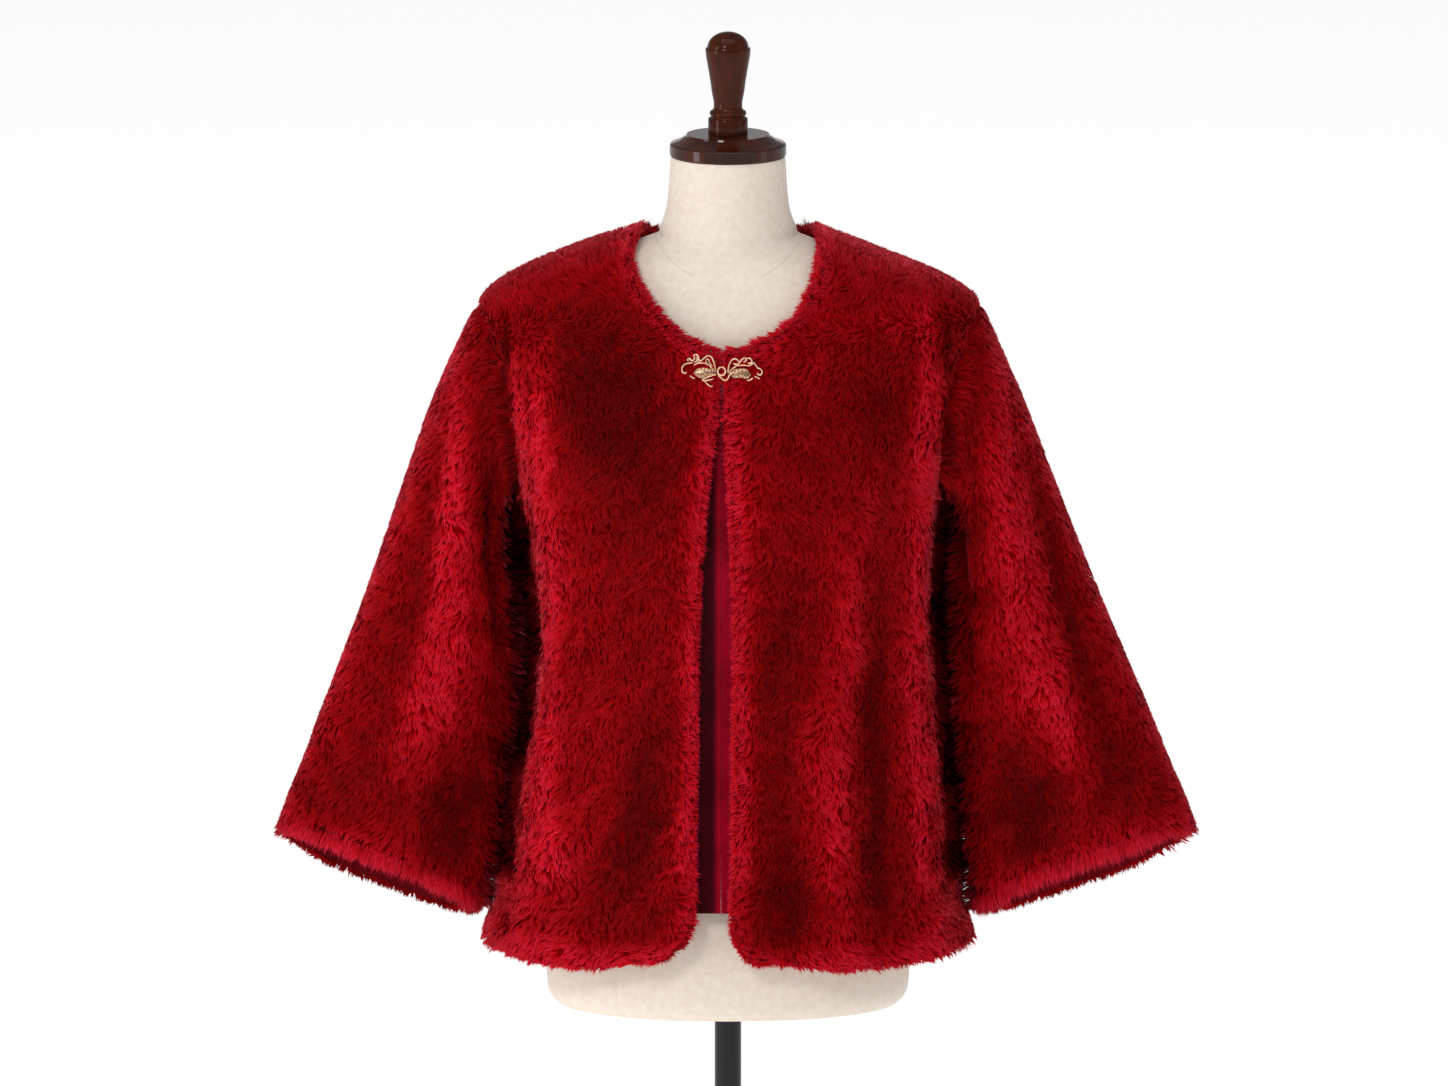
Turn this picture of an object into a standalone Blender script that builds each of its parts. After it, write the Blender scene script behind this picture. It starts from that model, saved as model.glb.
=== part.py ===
"""Collarless fur jacket with bell sleeves, worn by a limbless dress form on a pole stand.

Metres, +Z up, floor at z = 0. The wearer faces -Y, and the wearer's left side is at +X.
Each panel is a closed wall: the outer face follows the tips of the fur, the inner face the lining.
"""
import math

import bmesh
import bpy
import numpy as np

# Driving sizes
FUR_WALL = 0.0120
HEM_WALL = 0.0150
FACING_WALL = 0.0018
SEAM_GAP = 0.0004
REST_GAP = 0.0006
SHOULDER_GAP = 0.0027
FACING_GAP = 0.0011
ROUNDNESS = 2.2

HEM_HEIGHT = 0.712
UNDERARM_HEIGHT = 1.140
SIDE_HEM_LIFT = 0.008
CORNER_RISE = 0.010
CORNER_SHARE = 0.28
CORNER_FADE = 0.05
NECK_SIDE_HEIGHT = 1.3875
FRONT_NECK_HEIGHT = 1.289
BACK_NECK_HEIGHT = 1.359
SHOULDER_TURN = 0.020

POLE_RADIUS = 0.0125
BASE_RADIUS = 0.150
BASE_THICKNESS = 0.012
NECK_TOP = 1.4545

# Numbers of cells over each panel
FRONT_COLUMNS = 14
LOWER_ROWS = 13
UPPER_ROWS = 13
BACK_NECK_ROWS = 5
FRONT_EDGE_ROWS = 4
SLEEVE_COLUMNS = 2 * UPPER_ROWS

# Jacket outline: height, right half width, left half width, front depth, back depth
COAT_RINGS = (
    (0.700, 0.2300, 0.2310, 0.152, 0.150),
    (0.725, 0.2285, 0.2295, 0.152, 0.149),
    (0.760, 0.2150, 0.2160, 0.149, 0.145),
    (0.801, 0.2074, 0.2110, 0.146, 0.139),
    (0.862, 0.2000, 0.2075, 0.142, 0.131),
    (0.937, 0.1851, 0.2010, 0.138, 0.123),
    (0.998, 0.1776, 0.1962, 0.137, 0.120),
    (1.058, 0.1835, 0.1925, 0.141, 0.121),
    (1.119, 0.1950, 0.1972, 0.146, 0.125),
    (1.160, 0.2050, 0.2060, 0.147, 0.127),
    (1.210, 0.2190, 0.2200, 0.141, 0.125),
    (1.260, 0.2310, 0.2320, 0.131, 0.119),
    (1.300, 0.2360, 0.2370, 0.120, 0.113),
    (1.319, 0.2320, 0.2340, 0.114, 0.107),
    (1.333, 0.2205, 0.2185, 0.109, 0.102),
    (1.347, 0.1990, 0.1930, 0.103, 0.097),
    (1.362, 0.1660, 0.1550, 0.096, 0.091),
    (1.378, 0.1200, 0.1140, 0.088, 0.084),
    (1.388, 0.0850, 0.0850, 0.081, 0.079),
)

# Front edges: height, across for the right front, across for the left front
FRONT_EDGES = (
    (0.712, -0.0640, 0.0220),
    (0.732, -0.0440, 0.0100),
    (0.760, -0.0365, 0.0065),
    (0.805, -0.0355, 0.0080),
    (0.932, -0.0340, 0.0095),
    (0.997, -0.0335, 0.0100),
    (1.070, -0.0305, 0.0090),
    (1.133, -0.0262, 0.0060),
    (1.197, -0.0195, 0.0030),
    (1.250, -0.0125, 0.0010),
    (1.289, -0.0125, 0.0010),
)

# Neck edge past the front corner, and past the middle of the back: height, across
FRONT_NECK = (
    (1.2955, 0.0270),
    (1.3050, 0.0480),
    (1.3210, 0.0670),
    (1.3430, 0.0815),
    (1.3660, 0.0890),
    (1.3770, 0.0895),
    (1.3845, 0.0880),
)
BACK_NECK = (
    (1.3605, 0.0220),
    (1.3640, 0.0420),
    (1.3700, 0.0580),
    (1.3775, 0.0710),
    (1.3840, 0.0790),
)

# Armhole from underarm to shoulder tip: height, angle from the front middle in degrees
ARMHOLE = (
    (1.140, 90.0),
    (1.146, 79.0),
    (1.163, 71.0),
    (1.195, 66.5),
    (1.240, 65.0),
    (1.280, 68.0),
    (1.303, 76.0),
    (1.316, 90.0),
)

# Folds of the body: width in degrees, then height, across, relief of each point on the line
BODY_FOLDS = (
    (9.0, ((0.735, -0.185, 0.003), (0.890, -0.175, 0.005), (0.991, -0.163, 0.006),
           (1.136, -0.168, 0.006), (1.224, -0.181, 0.005), (1.300, -0.200, 0.000))),
    (8.0, ((0.750, -0.118, -0.003), (0.827, -0.100, -0.005), (0.928, -0.063, -0.004),
           (1.020, -0.050, 0.000))),
    (13.0, ((1.180, -0.110, 0.000), (1.260, -0.115, -0.004), (1.310, -0.120, 0.000))),
    (8.0, ((0.735, 0.190, 0.003), (0.865, 0.185, 0.005), (0.991, 0.176, 0.006),
           (1.117, 0.179, 0.006), (1.224, 0.185, 0.005), (1.310, 0.194, 0.000))),
    (6.5, ((0.725, 0.100, 0.003), (0.801, 0.098, 0.006), (0.928, 0.092, 0.006),
           (1.054, 0.111, 0.005), (1.168, 0.104, 0.000))),
    (5.5, ((0.740, 0.137, -0.003), (0.865, 0.133, -0.005), (1.054, 0.136, -0.003),
           (1.150, 0.138, 0.000))),
    (7.0, ((0.740, 0.056, -0.003), (0.801, 0.055, -0.005), (0.978, 0.042, -0.004),
           (1.066, 0.060, -0.003), (1.160, 0.066, 0.000))),
    (12.0, ((1.170, 0.150, 0.000), (1.243, 0.153, -0.004), (1.310, 0.150, 0.000))),
)
BACK_FOLDS = (
    (15.0, ((0.780, -0.198, 0.000), (0.880, -0.184, 0.003), (0.940, -0.173, 0.007),
            (1.010, -0.165, 0.015), (1.060, -0.172, 0.010), (1.110, -0.182, 0.004),
            (1.150, -0.190, 0.000))),
    (15.0, ((0.780, 0.202, 0.000), (0.900, 0.192, 0.003), (0.970, 0.184, 0.007),
            (1.040, 0.181, 0.012), (1.100, 0.184, 0.008), (1.150, 0.192, 0.000))),
    (9.0, ((0.705, -0.158, 0.007), (0.840, -0.150, 0.006), (0.980, -0.137, 0.003),
           (1.120, -0.140, 0.000))),
    (7.0, ((0.705, -0.092, -0.006), (0.860, -0.083, -0.004), (1.010, -0.078, 0.000))),
    (8.0, ((0.705, -0.036, 0.006), (0.900, -0.030, 0.005), (1.060, -0.028, 0.002),
           (1.200, -0.030, 0.000))),
    (7.0, ((0.705, 0.031, -0.005), (0.820, 0.034, -0.004), (0.950, 0.036, 0.000))),
    (9.0, ((0.705, 0.085, 0.007), (0.850, 0.088, 0.006), (1.030, 0.080, 0.003),
           (1.160, 0.082, 0.000))),
    (8.0, ((0.705, 0.160, -0.004), (0.880, 0.150, -0.004), (1.020, 0.145, 0.000))),
)

# Sleeve outline seen from the front: height, right reach, left reach
SLEEVE_OUTER = (
    (0.800, 0.4210, 0.4360),
    (0.831, 0.4185, 0.4343),
    (0.862, 0.4055, 0.4210),
    (0.922, 0.3832, 0.3970),
    (1.043, 0.3376, 0.3460),
    (1.164, 0.2967, 0.2985),
    (1.225, 0.2753, 0.2753),
    (1.277, 0.2530, 0.2530),
    (1.322, 0.2350, 0.2360),
)
SLEEVE_INNER = (
    (0.735, 0.2300, 0.2280),
    (0.755, 0.2245, 0.2240),
    (0.801, 0.2120, 0.2180),
    (0.831, 0.2085, 0.2167),
    (0.892, 0.2020, 0.2125),
    (0.945, 0.1950, 0.2070),
    (1.013, 0.2000, 0.2093),
    (1.073, 0.2037, 0.2083),
    (1.141, 0.2125, 0.2145),
)

# Sleeve rings: way down, outer height, inner height, half depth, front edge lift
SLEEVE_STATIONS = (
    (0.00, 1.316, 1.141, 0.061, 0.000),
    (0.12, 1.270, 1.100, 0.067, 0.000),
    (0.30, 1.185, 1.030, 0.066, 0.001),
    (0.50, 1.090, 0.950, 0.062, 0.003),
    (0.70, 0.990, 0.875, 0.059, 0.007),
    (0.85, 0.904, 0.804, 0.057, 0.014),
    (1.00, 0.821, 0.746, 0.055, 0.023),
)
UNDERARM_LEAN = 50.0
UNDERARM_LEAN_RISE = 0.06
SLEEVE_ROWS = (0.0, 0.035, 0.07, 0.12, 0.19, 0.27, 0.36, 0.45, 0.54, 0.63, 0.72, 0.81, 0.89, 0.95, 1.0)

# Folds of the sleeves: width in degrees, then way down, angle around from the outer edge, relief
SLEEVE_FOLDS = {
    "right": (
        (24.0, ((0.08, 207.0, 0.000), (0.24, 207.0, 0.012), (0.34, 206.0, 0.020), (0.45, 206.0, 0.018),
                (0.58, 206.0, 0.012), (0.78, 206.0, 0.005), (1.00, 206.0, 0.002))),
        (15.0, ((0.04, 60.0, 0.000), (0.22, 78.0, 0.007), (0.50, 91.0, 0.007), (0.88, 92.0, 0.005),
                (1.00, 94.0, 0.002))),
        (14.0, ((0.03, 118.0, 0.000), (0.12, 122.0, -0.006), (0.40, 138.0, -0.005),
                (0.70, 138.0, -0.002))),
        (16.0, ((0.10, 48.0, 0.000), (0.35, 62.0, -0.005), (0.65, 64.0, -0.003), (0.90, 60.0, 0.0))),
        (20.0, ((0.66, 124.0, 0.000), (0.88, 124.0, -0.006), (1.00, 122.0, -0.003))),
        (18.0, ((0.15, 255.0, 0.000), (0.50, 262.0, 0.006), (1.00, 268.0, 0.007))),
        (16.0, ((0.30, 300.0, 0.000), (0.70, 298.0, -0.005), (1.00, 302.0, -0.004))),
    ),
    "left": (
        (24.0, ((0.06, 207.0, 0.000), (0.20, 207.0, 0.011), (0.35, 206.0, 0.014), (0.50, 206.0, 0.009),
                (0.75, 206.0, 0.004), (1.00, 206.0, 0.001))),
        (15.0, ((0.04, 66.0, 0.000), (0.20, 80.0, 0.007), (0.45, 84.0, 0.007), (0.85, 84.0, 0.006),
                (1.00, 88.0, 0.002))),
        (14.0, ((0.03, 140.0, 0.000), (0.14, 144.0, -0.006), (0.36, 138.0, -0.005),
                (0.66, 140.0, -0.002))),
        (15.0, ((0.12, 36.0, 0.000), (0.36, 44.0, -0.005), (0.75, 62.0, -0.006), (0.95, 66.0, 0.0))),
        (22.0, ((0.66, 108.0, 0.000), (0.88, 106.0, -0.006), (1.00, 110.0, -0.003))),
        (18.0, ((0.20, 246.0, 0.000), (0.55, 255.0, 0.007), (1.00, 262.0, 0.006))),
        (16.0, ((0.40, 292.0, 0.000), (0.75, 296.0, -0.006), (1.00, 300.0, -0.004))),
    ),
}

# Form below the jacket's shoulders: height, half width, front depth, back depth
FORM_RINGS = (
    (0.658, 0.1600, 0.1110, 0.1120),
    (0.665, 0.1660, 0.1150, 0.1160),
    (0.680, 0.1690, 0.1170, 0.1190),
    (0.720, 0.1685, 0.1165, 0.1200),
    (0.790, 0.1600, 0.1110, 0.1160),
    (0.880, 0.1420, 0.1010, 0.1000),
    (0.960, 0.1300, 0.0960, 0.0890),
    (1.020, 0.1330, 0.1000, 0.0880),
    (1.090, 0.1490, 0.1150, 0.0960),
    (1.150, 0.1640, 0.1260, 0.1040),
    (1.200, 0.1730, 0.1250, 0.1080),
    (1.250, 0.1830, 0.1140, 0.1050),
)
# The form ends short of the armholes: share of its width taken off, and where that fades out
ARM_END_INSET = 0.10
ARM_END_HEIGHTS = (1.29, 1.35)
FORM_SHOULDER_LEVELS = (1.296, 1.315, 1.330, 1.343, 1.356, 1.366, 1.374)
FORM_NECK = ((1.3785, 0.0700), (1.3880, 0.0635), (1.3990, 0.0590), (1.4100, 0.0565),
             (1.4260, 0.0548), (1.4520, 0.0532), (NECK_TOP, 0.0515))

# Turned pieces: radius, height above their lower face
CAP_PROFILE = ((0.0525, 0.0), (0.0541, 0.0012), (0.0541, 0.0103), (0.0530, 0.0116), (0.0495, 0.0125),
               (0.0452, 0.0145), (0.0412, 0.0172), (0.0388, 0.0185), (0.0383, 0.0202))
FINIAL_PROFILE = ((0.0188, 0.0), (0.0190, 0.0105), (0.0178, 0.0120), (0.0192, 0.0140), (0.0192, 0.0165),
                  (0.0172, 0.0185), (0.0165, 0.0205), (0.0133, 0.0255), (0.0140, 0.0350),
                  (0.0162, 0.0480), (0.0188, 0.0600), (0.0205, 0.0710), (0.0214, 0.0760),
                  (0.0212, 0.0790), (0.0190, 0.0815), (0.0172, 0.0880), (0.0122, 0.0935),
                  (0.0050, 0.0962))

# Clasp, measured on the cloth from its ring: across outward, up
CLASP_CENTRE = (-0.0059, 1.2740)
CLASP_WIRE_RADIUS = 0.0011
CLASP_SCROLL = ((0.0051, 0.0016), (0.0080, 0.0070), (0.0125, 0.0125), (0.0165, 0.0128),
                (0.0195, 0.0100), (0.0230, 0.0092), (0.0262, 0.0112), (0.0300, 0.0095),
                (0.0335, 0.0055), (0.0362, 0.0010), (0.0365, -0.0035), (0.0340, -0.0062),
                (0.0312, -0.0052), (0.0312, -0.0022))
CLASP_LEAF = ((0.0062, -0.0006), (0.0120, 0.0030), (0.0180, 0.0044), (0.0240, 0.0036), (0.0282, 0.0004),
              (0.0240, -0.0042), (0.0180, -0.0062), (0.0120, -0.0056))
CLASP_LEAF_THICKNESS = 0.0012
CLASP_STANDOFF = 0.0005
CLASP_RING_RADIUS = 0.0036

COLOURS = {
    "fur_red": ((0.38, 0.006, 0.012, 1.0), 0.85, 0.0),
    "satin_crimson": ((0.20, 0.003, 0.022, 1.0), 0.32, 0.0),
    "brass_gold": ((0.80, 0.52, 0.20, 1.0), 0.28, 1.0),
    "linen_natural": ((0.76, 0.68, 0.58, 1.0), 0.80, 0.0),
    "mahogany": ((0.075, 0.020, 0.009, 1.0), 0.22, 0.0),
    "steel_dark": ((0.035, 0.035, 0.038, 1.0), 0.35, 1.0),
}


def clear_scene():
    """Start from an empty scene."""
    for item in list(bpy.data.objects):
        bpy.data.objects.remove(item, do_unlink=True)


def material(name):
    """One Principled material for each finish, made once."""
    found = bpy.data.materials.get(name)
    if found:
        return found
    colour, roughness, metallic = COLOURS[name]
    made = bpy.data.materials.new(name)
    made.use_nodes = True
    shader = made.node_tree.nodes["Principled BSDF"]
    shader.inputs["Base Color"].default_value = colour
    shader.inputs["Roughness"].default_value = roughness
    shader.inputs["Metallic"].default_value = metallic
    made.diffuse_color = colour
    return made


def smooth_step(value, start, end):
    """Rise from 0 at start to 1 at end with level ends."""
    part = np.clip((value - start) / (end - start), 0.0, 1.0)
    return part * part * (3.0 - 2.0 * part)


def along(table, key, column):
    """Smooth curve through a table whose first column rises or falls steadily."""
    rows = sorted(table)
    keys = np.array([row[0] for row in rows])
    values = np.array([row[column] for row in rows])
    slopes = np.gradient(values, keys)
    key = np.clip(key, keys[0], keys[-1])
    cell = np.clip(np.searchsorted(keys, key, side="right") - 1, 0, len(keys) - 2)
    width = keys[cell + 1] - keys[cell]
    part = (key - keys[cell]) / width
    start = (1.0 + 2.0 * part) * (1.0 - part) ** 2 * values[cell]
    end = part ** 2 * (3.0 - 2.0 * part) * values[cell + 1]
    lean = part * (1.0 - part) * width * ((1.0 - part) * slopes[cell] - part * slopes[cell + 1])
    return start + end + lean


def signed_power(value, power):
    """Power that keeps the sign."""
    return np.sign(value) * np.abs(value) ** power


def ring_point(angle, right, left, front, back):
    """Point on a rounded ring, with the angle counted from the front middle toward the left side."""
    across = signed_power(np.sin(angle), 2.0 / ROUNDNESS)
    ahead = signed_power(np.cos(angle), 2.0 / ROUNDNESS)
    x = across * np.where(across >= 0.0, left, right)
    y = -ahead * np.where(ahead >= 0.0, front, back)
    return x, y


def coat_base(angle, height):
    """Jacket surface without folds."""
    x, y = ring_point(angle, along(COAT_RINGS, height, 1), along(COAT_RINGS, height, 2),
                      along(COAT_RINGS, height, 3), along(COAT_RINGS, height, 4))
    return np.stack([x, y, height + 0.0 * x], axis=-1)


def angle_at(across, height):
    """Angle on the front half of the ring at a distance across."""
    half = np.where(across >= 0.0, along(COAT_RINGS, height, 2), along(COAT_RINGS, height, 1))
    part = np.clip(across / half, -1.0, 1.0)
    return np.arcsin(signed_power(part, ROUNDNESS / 2.0))


def fold_relief(angle, height):
    """Height of the folds over the smooth jacket."""
    total = 0.0 * angle * height
    for folds, behind in ((BODY_FOLDS, False), (BACK_FOLDS, True)):
        for width, line in folds:
            keys = [point[0] for point in line]
            across = along(tuple((p[0], p[1]) for p in line), height, 1)
            relief = along(tuple((p[0], p[2]) for p in line), height, 1)
            middle = angle_at(across, height)
            if behind:
                middle = math.pi - middle
            apart = np.angle(np.exp(1j * (angle - middle)))
            inside = (height >= keys[0] - 0.05) & (height <= keys[-1])
            total = total + np.where(inside, relief, 0.0) * np.exp(-(apart / math.radians(width)) ** 2)
    return total


def surface_normal(surface, angle, height):
    """Outward direction of a surface given by angle and height."""
    step = 1e-4
    around = surface(angle + step, height) - surface(angle - step, height)
    upward = surface(angle, height + step) - surface(angle, height - step)
    normal = np.cross(around, upward)
    return normal / np.linalg.norm(normal, axis=-1, keepdims=True)


def coat_surface(angle, height):
    """Jacket surface with its folds."""
    lift = fold_relief(angle, height)
    return coat_base(angle, height) + surface_normal(coat_base, angle, height) * lift[..., None]


def coat_wall(angle, height):
    """Outer point and the way through the wall at each place of the jacket."""
    angle = np.asarray(angle, dtype=float)
    height = np.asarray(height, dtype=float)
    thickness = HEM_WALL + (FUR_WALL - HEM_WALL) * smooth_step(height, HEM_HEIGHT, HEM_HEIGHT + 0.06)
    outer = coat_surface(angle, height)
    return outer, -surface_normal(coat_surface, angle, height) * thickness[..., None]


def armhole_line(count, side, behind):
    """Angles and heights along half an armhole, from the underarm to the shoulder tip."""
    steps = np.linspace(0.0, 1.0, count + 1)
    keys = np.linspace(0.0, 1.0, len(ARMHOLE))
    heights = along(tuple(zip(keys, [p[0] for p in ARMHOLE])), steps, 1)
    angles = np.radians(along(tuple(zip(keys, [p[1] for p in ARMHOLE])), steps, 1))
    if behind:
        angles = math.pi - angles
    return side * angles, heights


def neck_line(count, side, behind, corner):
    """Angles and heights along the neck edge, from its lowest point to the shoulder."""
    points = [corner] + list(BACK_NECK if behind else FRONT_NECK) + [(NECK_SIDE_HEIGHT, 0.0)]
    heights = np.array([p[0] for p in points])
    across = np.array([p[1] for p in points])
    across[-1] = along(COAT_RINGS, NECK_SIDE_HEIGHT, 2)
    reach = np.cumsum(np.hypot(np.diff(heights, prepend=heights[0]), np.diff(across, prepend=across[0])))
    # The last stretch turns over the shoulder, so it counts for more than its rise
    reach[-1] += SHOULDER_TURN
    steps = np.linspace(0.0, reach[-1], count + 1)
    height = np.interp(steps, reach, heights)
    angle = angle_at(np.interp(steps, reach, across), height)
    angle[-1] = math.pi / 2.0
    if behind:
        angle = math.pi - angle
    return side * angle, height


def half_panel(side, behind):
    """Grid of angles and heights from the middle edge (first column) to the side."""
    climb = np.linspace(0.0, 1.0, LOWER_ROWS + 1) ** 1.3
    low = HEM_HEIGHT + (UNDERARM_HEIGHT - HEM_HEIGHT) * climb
    low_side = low + SIDE_HEM_LIFT * (1.0 - climb)
    if behind:
        middle_rows = UPPER_ROWS - BACK_NECK_ROWS
        corner = (BACK_NECK_HEIGHT, 0.0)
        mid_heights = np.linspace(UNDERARM_HEIGHT, BACK_NECK_HEIGHT, middle_rows + 1)
        edge_heights = np.concatenate([low, mid_heights[1:]])
        edge_angles = np.full(len(edge_heights), side * math.pi)
    else:
        middle_rows = FRONT_EDGE_ROWS
        column = 2 if side > 0 else 1
        corner = (FRONT_NECK_HEIGHT, side * along(FRONT_EDGES, FRONT_NECK_HEIGHT, column))
        mid_heights = np.linspace(UNDERARM_HEIGHT, FRONT_NECK_HEIGHT, middle_rows + 1)
        edge_heights = np.concatenate([low, mid_heights[1:]])
        edge_angles = angle_at(along(FRONT_EDGES, edge_heights, column), edge_heights)
    neck_angles, neck_heights = neck_line(UPPER_ROWS - middle_rows, side, behind, corner)
    edge_angles = np.concatenate([edge_angles, neck_angles[1:]])
    edge_heights = np.concatenate([edge_heights, neck_heights[1:]])
    arm_angles, arm_heights = armhole_line(UPPER_ROWS, side, behind)
    side_angles = np.concatenate([np.full(LOWER_ROWS + 1, side * math.pi / 2.0), arm_angles[1:]])
    side_heights = np.concatenate([low_side, arm_heights[1:]])
    part = np.linspace(0.0, 1.0, FRONT_COLUMNS + 1)[None, :]
    angles = edge_angles[:, None] * (1.0 - part) + side_angles[:, None] * part
    heights = edge_heights[:, None] * (1.0 - part) + side_heights[:, None] * part
    if not behind:
        # The hem rises a little into the rounded front corner
        rise = CORNER_RISE * (1.0 - smooth_step(part, 0.0, CORNER_SHARE))
        heights = heights + rise * (1.0 - smooth_step(heights, HEM_HEIGHT, HEM_HEIGHT + CORNER_FADE))
    return angles, heights


def armhole_lean(heights):
    """How far the cut edge leans upward through the wall: most at the underarm."""
    fade = smooth_step(heights, UNDERARM_HEIGHT, UNDERARM_HEIGHT + UNDERARM_LEAN_RISE)
    return math.radians(UNDERARM_LEAN) * (1.0 - fade)


def armhole_edge(side, behind, count):
    """Outer points, ways through the wall and outward ways along half an armhole."""
    angles, heights = armhole_line(count, side, behind)
    outer, through = coat_wall(angles, heights)
    length = np.linalg.norm(through, axis=-1, keepdims=True)
    tangent = np.gradient(outer, axis=0)
    # At the two ends the line meets its mirror in the other half, so it runs straight front to back
    tangent[0] = (0.0, tangent[1][1], 0.0)
    tangent[-1] = (0.0, tangent[-2][1], 0.0)
    away = np.cross(tangent, -through)
    away /= np.linalg.norm(away, axis=-1, keepdims=True)
    if away[-1][0] * side < 0.0:
        away = -away
    lean = armhole_lean(heights)[:, None]
    through = through * np.cos(lean) + away * length * np.sin(lean)
    return outer, through, away


class Sheet:
    """Points of a panel's outer face, with the way through the wall and the edge roundness."""

    def __init__(self):
        self.points = []
        self.through = []
        self.round = []
        self.faces = []

    def add(self, point, through, roundness):
        self.points.append(np.array(point))
        self.through.append(np.array(through))
        self.round.append(roundness)
        return len(self.points) - 1


def add_half(sheet, side, behind, shared):
    """Add one half panel to a sheet and return its middle column."""
    angles, heights = half_panel(side, behind)
    outer, through = coat_wall(angles, heights)
    rows, columns = angles.shape
    arm_outer, arm_through, arm_away = armhole_edge(side, behind, UPPER_ROWS)
    outer[LOWER_ROWS:, -1] = arm_outer - arm_away * SEAM_GAP / 2.0
    through[LOWER_ROWS:, -1] = arm_through
    # Side and shoulder seams stand half a gap back from the plane where front and back meet
    back_off = SEAM_GAP / 2.0 * (1.0 if behind else -1.0)
    outer[:LOWER_ROWS + 1, -1, 1] += back_off
    outer[-1, :, 1] += back_off
    index = np.zeros((rows, columns), dtype=int)
    for row in range(rows):
        for column in range(columns):
            if column == 0 and shared and row < len(shared):
                index[row, 0] = shared[row]
                continue
            is_open = (column == 0) or (row == 0)
            if row == rows - 1 or column == columns - 1:
                is_open = False
            roundness = 1.0 if is_open else 0.0
            index[row, column] = sheet.add(outer[row, column], through[row, column], roundness)
    for row in range(rows - 1):
        for column in range(columns - 1):
            face = (index[row, column], index[row, column + 1],
                    index[row + 1, column + 1], index[row + 1, column])
            sheet.faces.append(face if (side > 0) != behind else face[::-1])
    return index[:, 0]


def closed_wall(name, sheet, material_name):
    """Close a sheet with its inner face and its rims, rounded where the edge is open."""
    points = np.array(sheet.points)
    through = np.array(sheet.through)
    normal = -through / np.linalg.norm(through, axis=1, keepdims=True)
    edges = {}
    for face in sheet.faces:
        for start, end in zip(face, face[1:] + face[:1]):
            edges[(start, end)] = edges.get((start, end), 0) + 1
    rim = [edge for edge in edges if (edge[1], edge[0]) not in edges]
    away = {}
    for start, end in rim:
        line = points[end] - points[start]
        for corner in (start, end):
            out = np.cross(line, normal[corner])
            away[corner] = away.get(corner, np.zeros(3)) + out / (np.linalg.norm(out) + 1e-12)
    mesh = bmesh.new()
    outer = [mesh.verts.new(point) for point in points]
    inner = [mesh.verts.new(point + way) for point, way in zip(points, through)]
    chains = {}
    for corner, out in away.items():
        out = out / np.linalg.norm(out)
        middle = points[corner] + through[corner] / 2.0
        chain = [outer[corner]]
        for turn in (math.pi / 3.0, 2.0 * math.pi / 3.0):
            bulge = sheet.round[corner] * np.linalg.norm(through[corner]) / 2.0 * math.sin(turn)
            chain.append(mesh.verts.new(middle - through[corner] / 2.0 * math.cos(turn) + out * bulge))
        chains[corner] = chain + [inner[corner]]
    for face in sheet.faces:
        mesh.faces.new([outer[corner] for corner in face])
        mesh.faces.new([inner[corner] for corner in reversed(face)])
    for start, end in rim:
        for step in range(3):
            mesh.faces.new([chains[end][step], chains[start][step],
                            chains[start][step + 1], chains[end][step + 1]])
    return finish(name, mesh, material_name)


def finish(name, mesh, material_name):
    """Turn a closed bmesh into a smooth-shaded object."""
    bmesh.ops.recalc_face_normals(mesh, faces=mesh.faces)
    data = bpy.data.meshes.new(name)
    mesh.to_mesh(data)
    mesh.free()
    data.materials.append(material(material_name))
    data.shade_smooth()
    data.set_sharp_from_angle(angle=math.radians(50.0))
    made = bpy.data.objects.new(name, data)
    bpy.context.scene.collection.objects.link(made)
    return made


def build_back():
    """Back panel: two halves that share the middle line up to the back neck."""
    sheet = Sheet()
    left = add_half(sheet, 1.0, True, None)
    joined_rows = LOWER_ROWS + UPPER_ROWS - BACK_NECK_ROWS + 1
    for row in range(1, joined_rows - 1):
        sheet.round[left[row]] = 0.0
    add_half(sheet, -1.0, True, list(left[:joined_rows]))
    closed_wall("jacket_back", sheet, "fur_red")


def build_fronts():
    """Two fronts, open down the middle."""
    for name, side in (("jacket_front_left", 1.0), ("jacket_front_right", -1.0)):
        sheet = Sheet()
        add_half(sheet, side, False, None)
        closed_wall(name, sheet, "fur_red")


def sleeve_relief(side_name, way, turn):
    """Height of a sleeve's folds at a way down and an angle around in degrees."""
    total = 0.0 * way * turn
    for width, line in SLEEVE_FOLDS[side_name]:
        middle = along(tuple((p[0], p[1]) for p in line), way, 1)
        relief = along(tuple((p[0], p[2]) for p in line), way, 1)
        inside = (way >= line[0][0]) & (way <= line[-1][0])
        apart = (turn - middle + 180.0) % 360.0 - 180.0
        total = total + np.where(inside, relief, 0.0) * np.exp(-(apart / width) ** 2)
    return total


def sleeve_tube(side, way, turn):
    """Smooth bell of the sleeve, and the centre of its ring, before it meets the armhole."""
    column = 2 if side > 0 else 1
    outer_height = along(SLEEVE_STATIONS, way, 1)
    inner_height = along(SLEEVE_STATIONS, way, 2)
    half_depth = along(SLEEVE_STATIONS, way, 3)
    lift = along(SLEEVE_STATIONS, way, 4)
    outer = np.stack([side * along(SLEEVE_OUTER, outer_height, column), 0.0 * way, outer_height], axis=-1)
    inner = np.stack([side * along(SLEEVE_INNER, inner_height, column), 0.0 * way, inner_height], axis=-1)
    centre = (outer + inner) / 2.0
    reach = (outer - inner) / 2.0
    angle = np.radians(turn)
    outward = signed_power(np.cos(angle), 2.0 / ROUNDNESS)
    ahead = signed_power(np.sin(angle), 2.0 / ROUNDNESS)
    point = centre + reach * outward[..., None]
    point[..., 1] -= half_depth * ahead
    point[..., 2] += lift * ahead
    return point, centre


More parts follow.
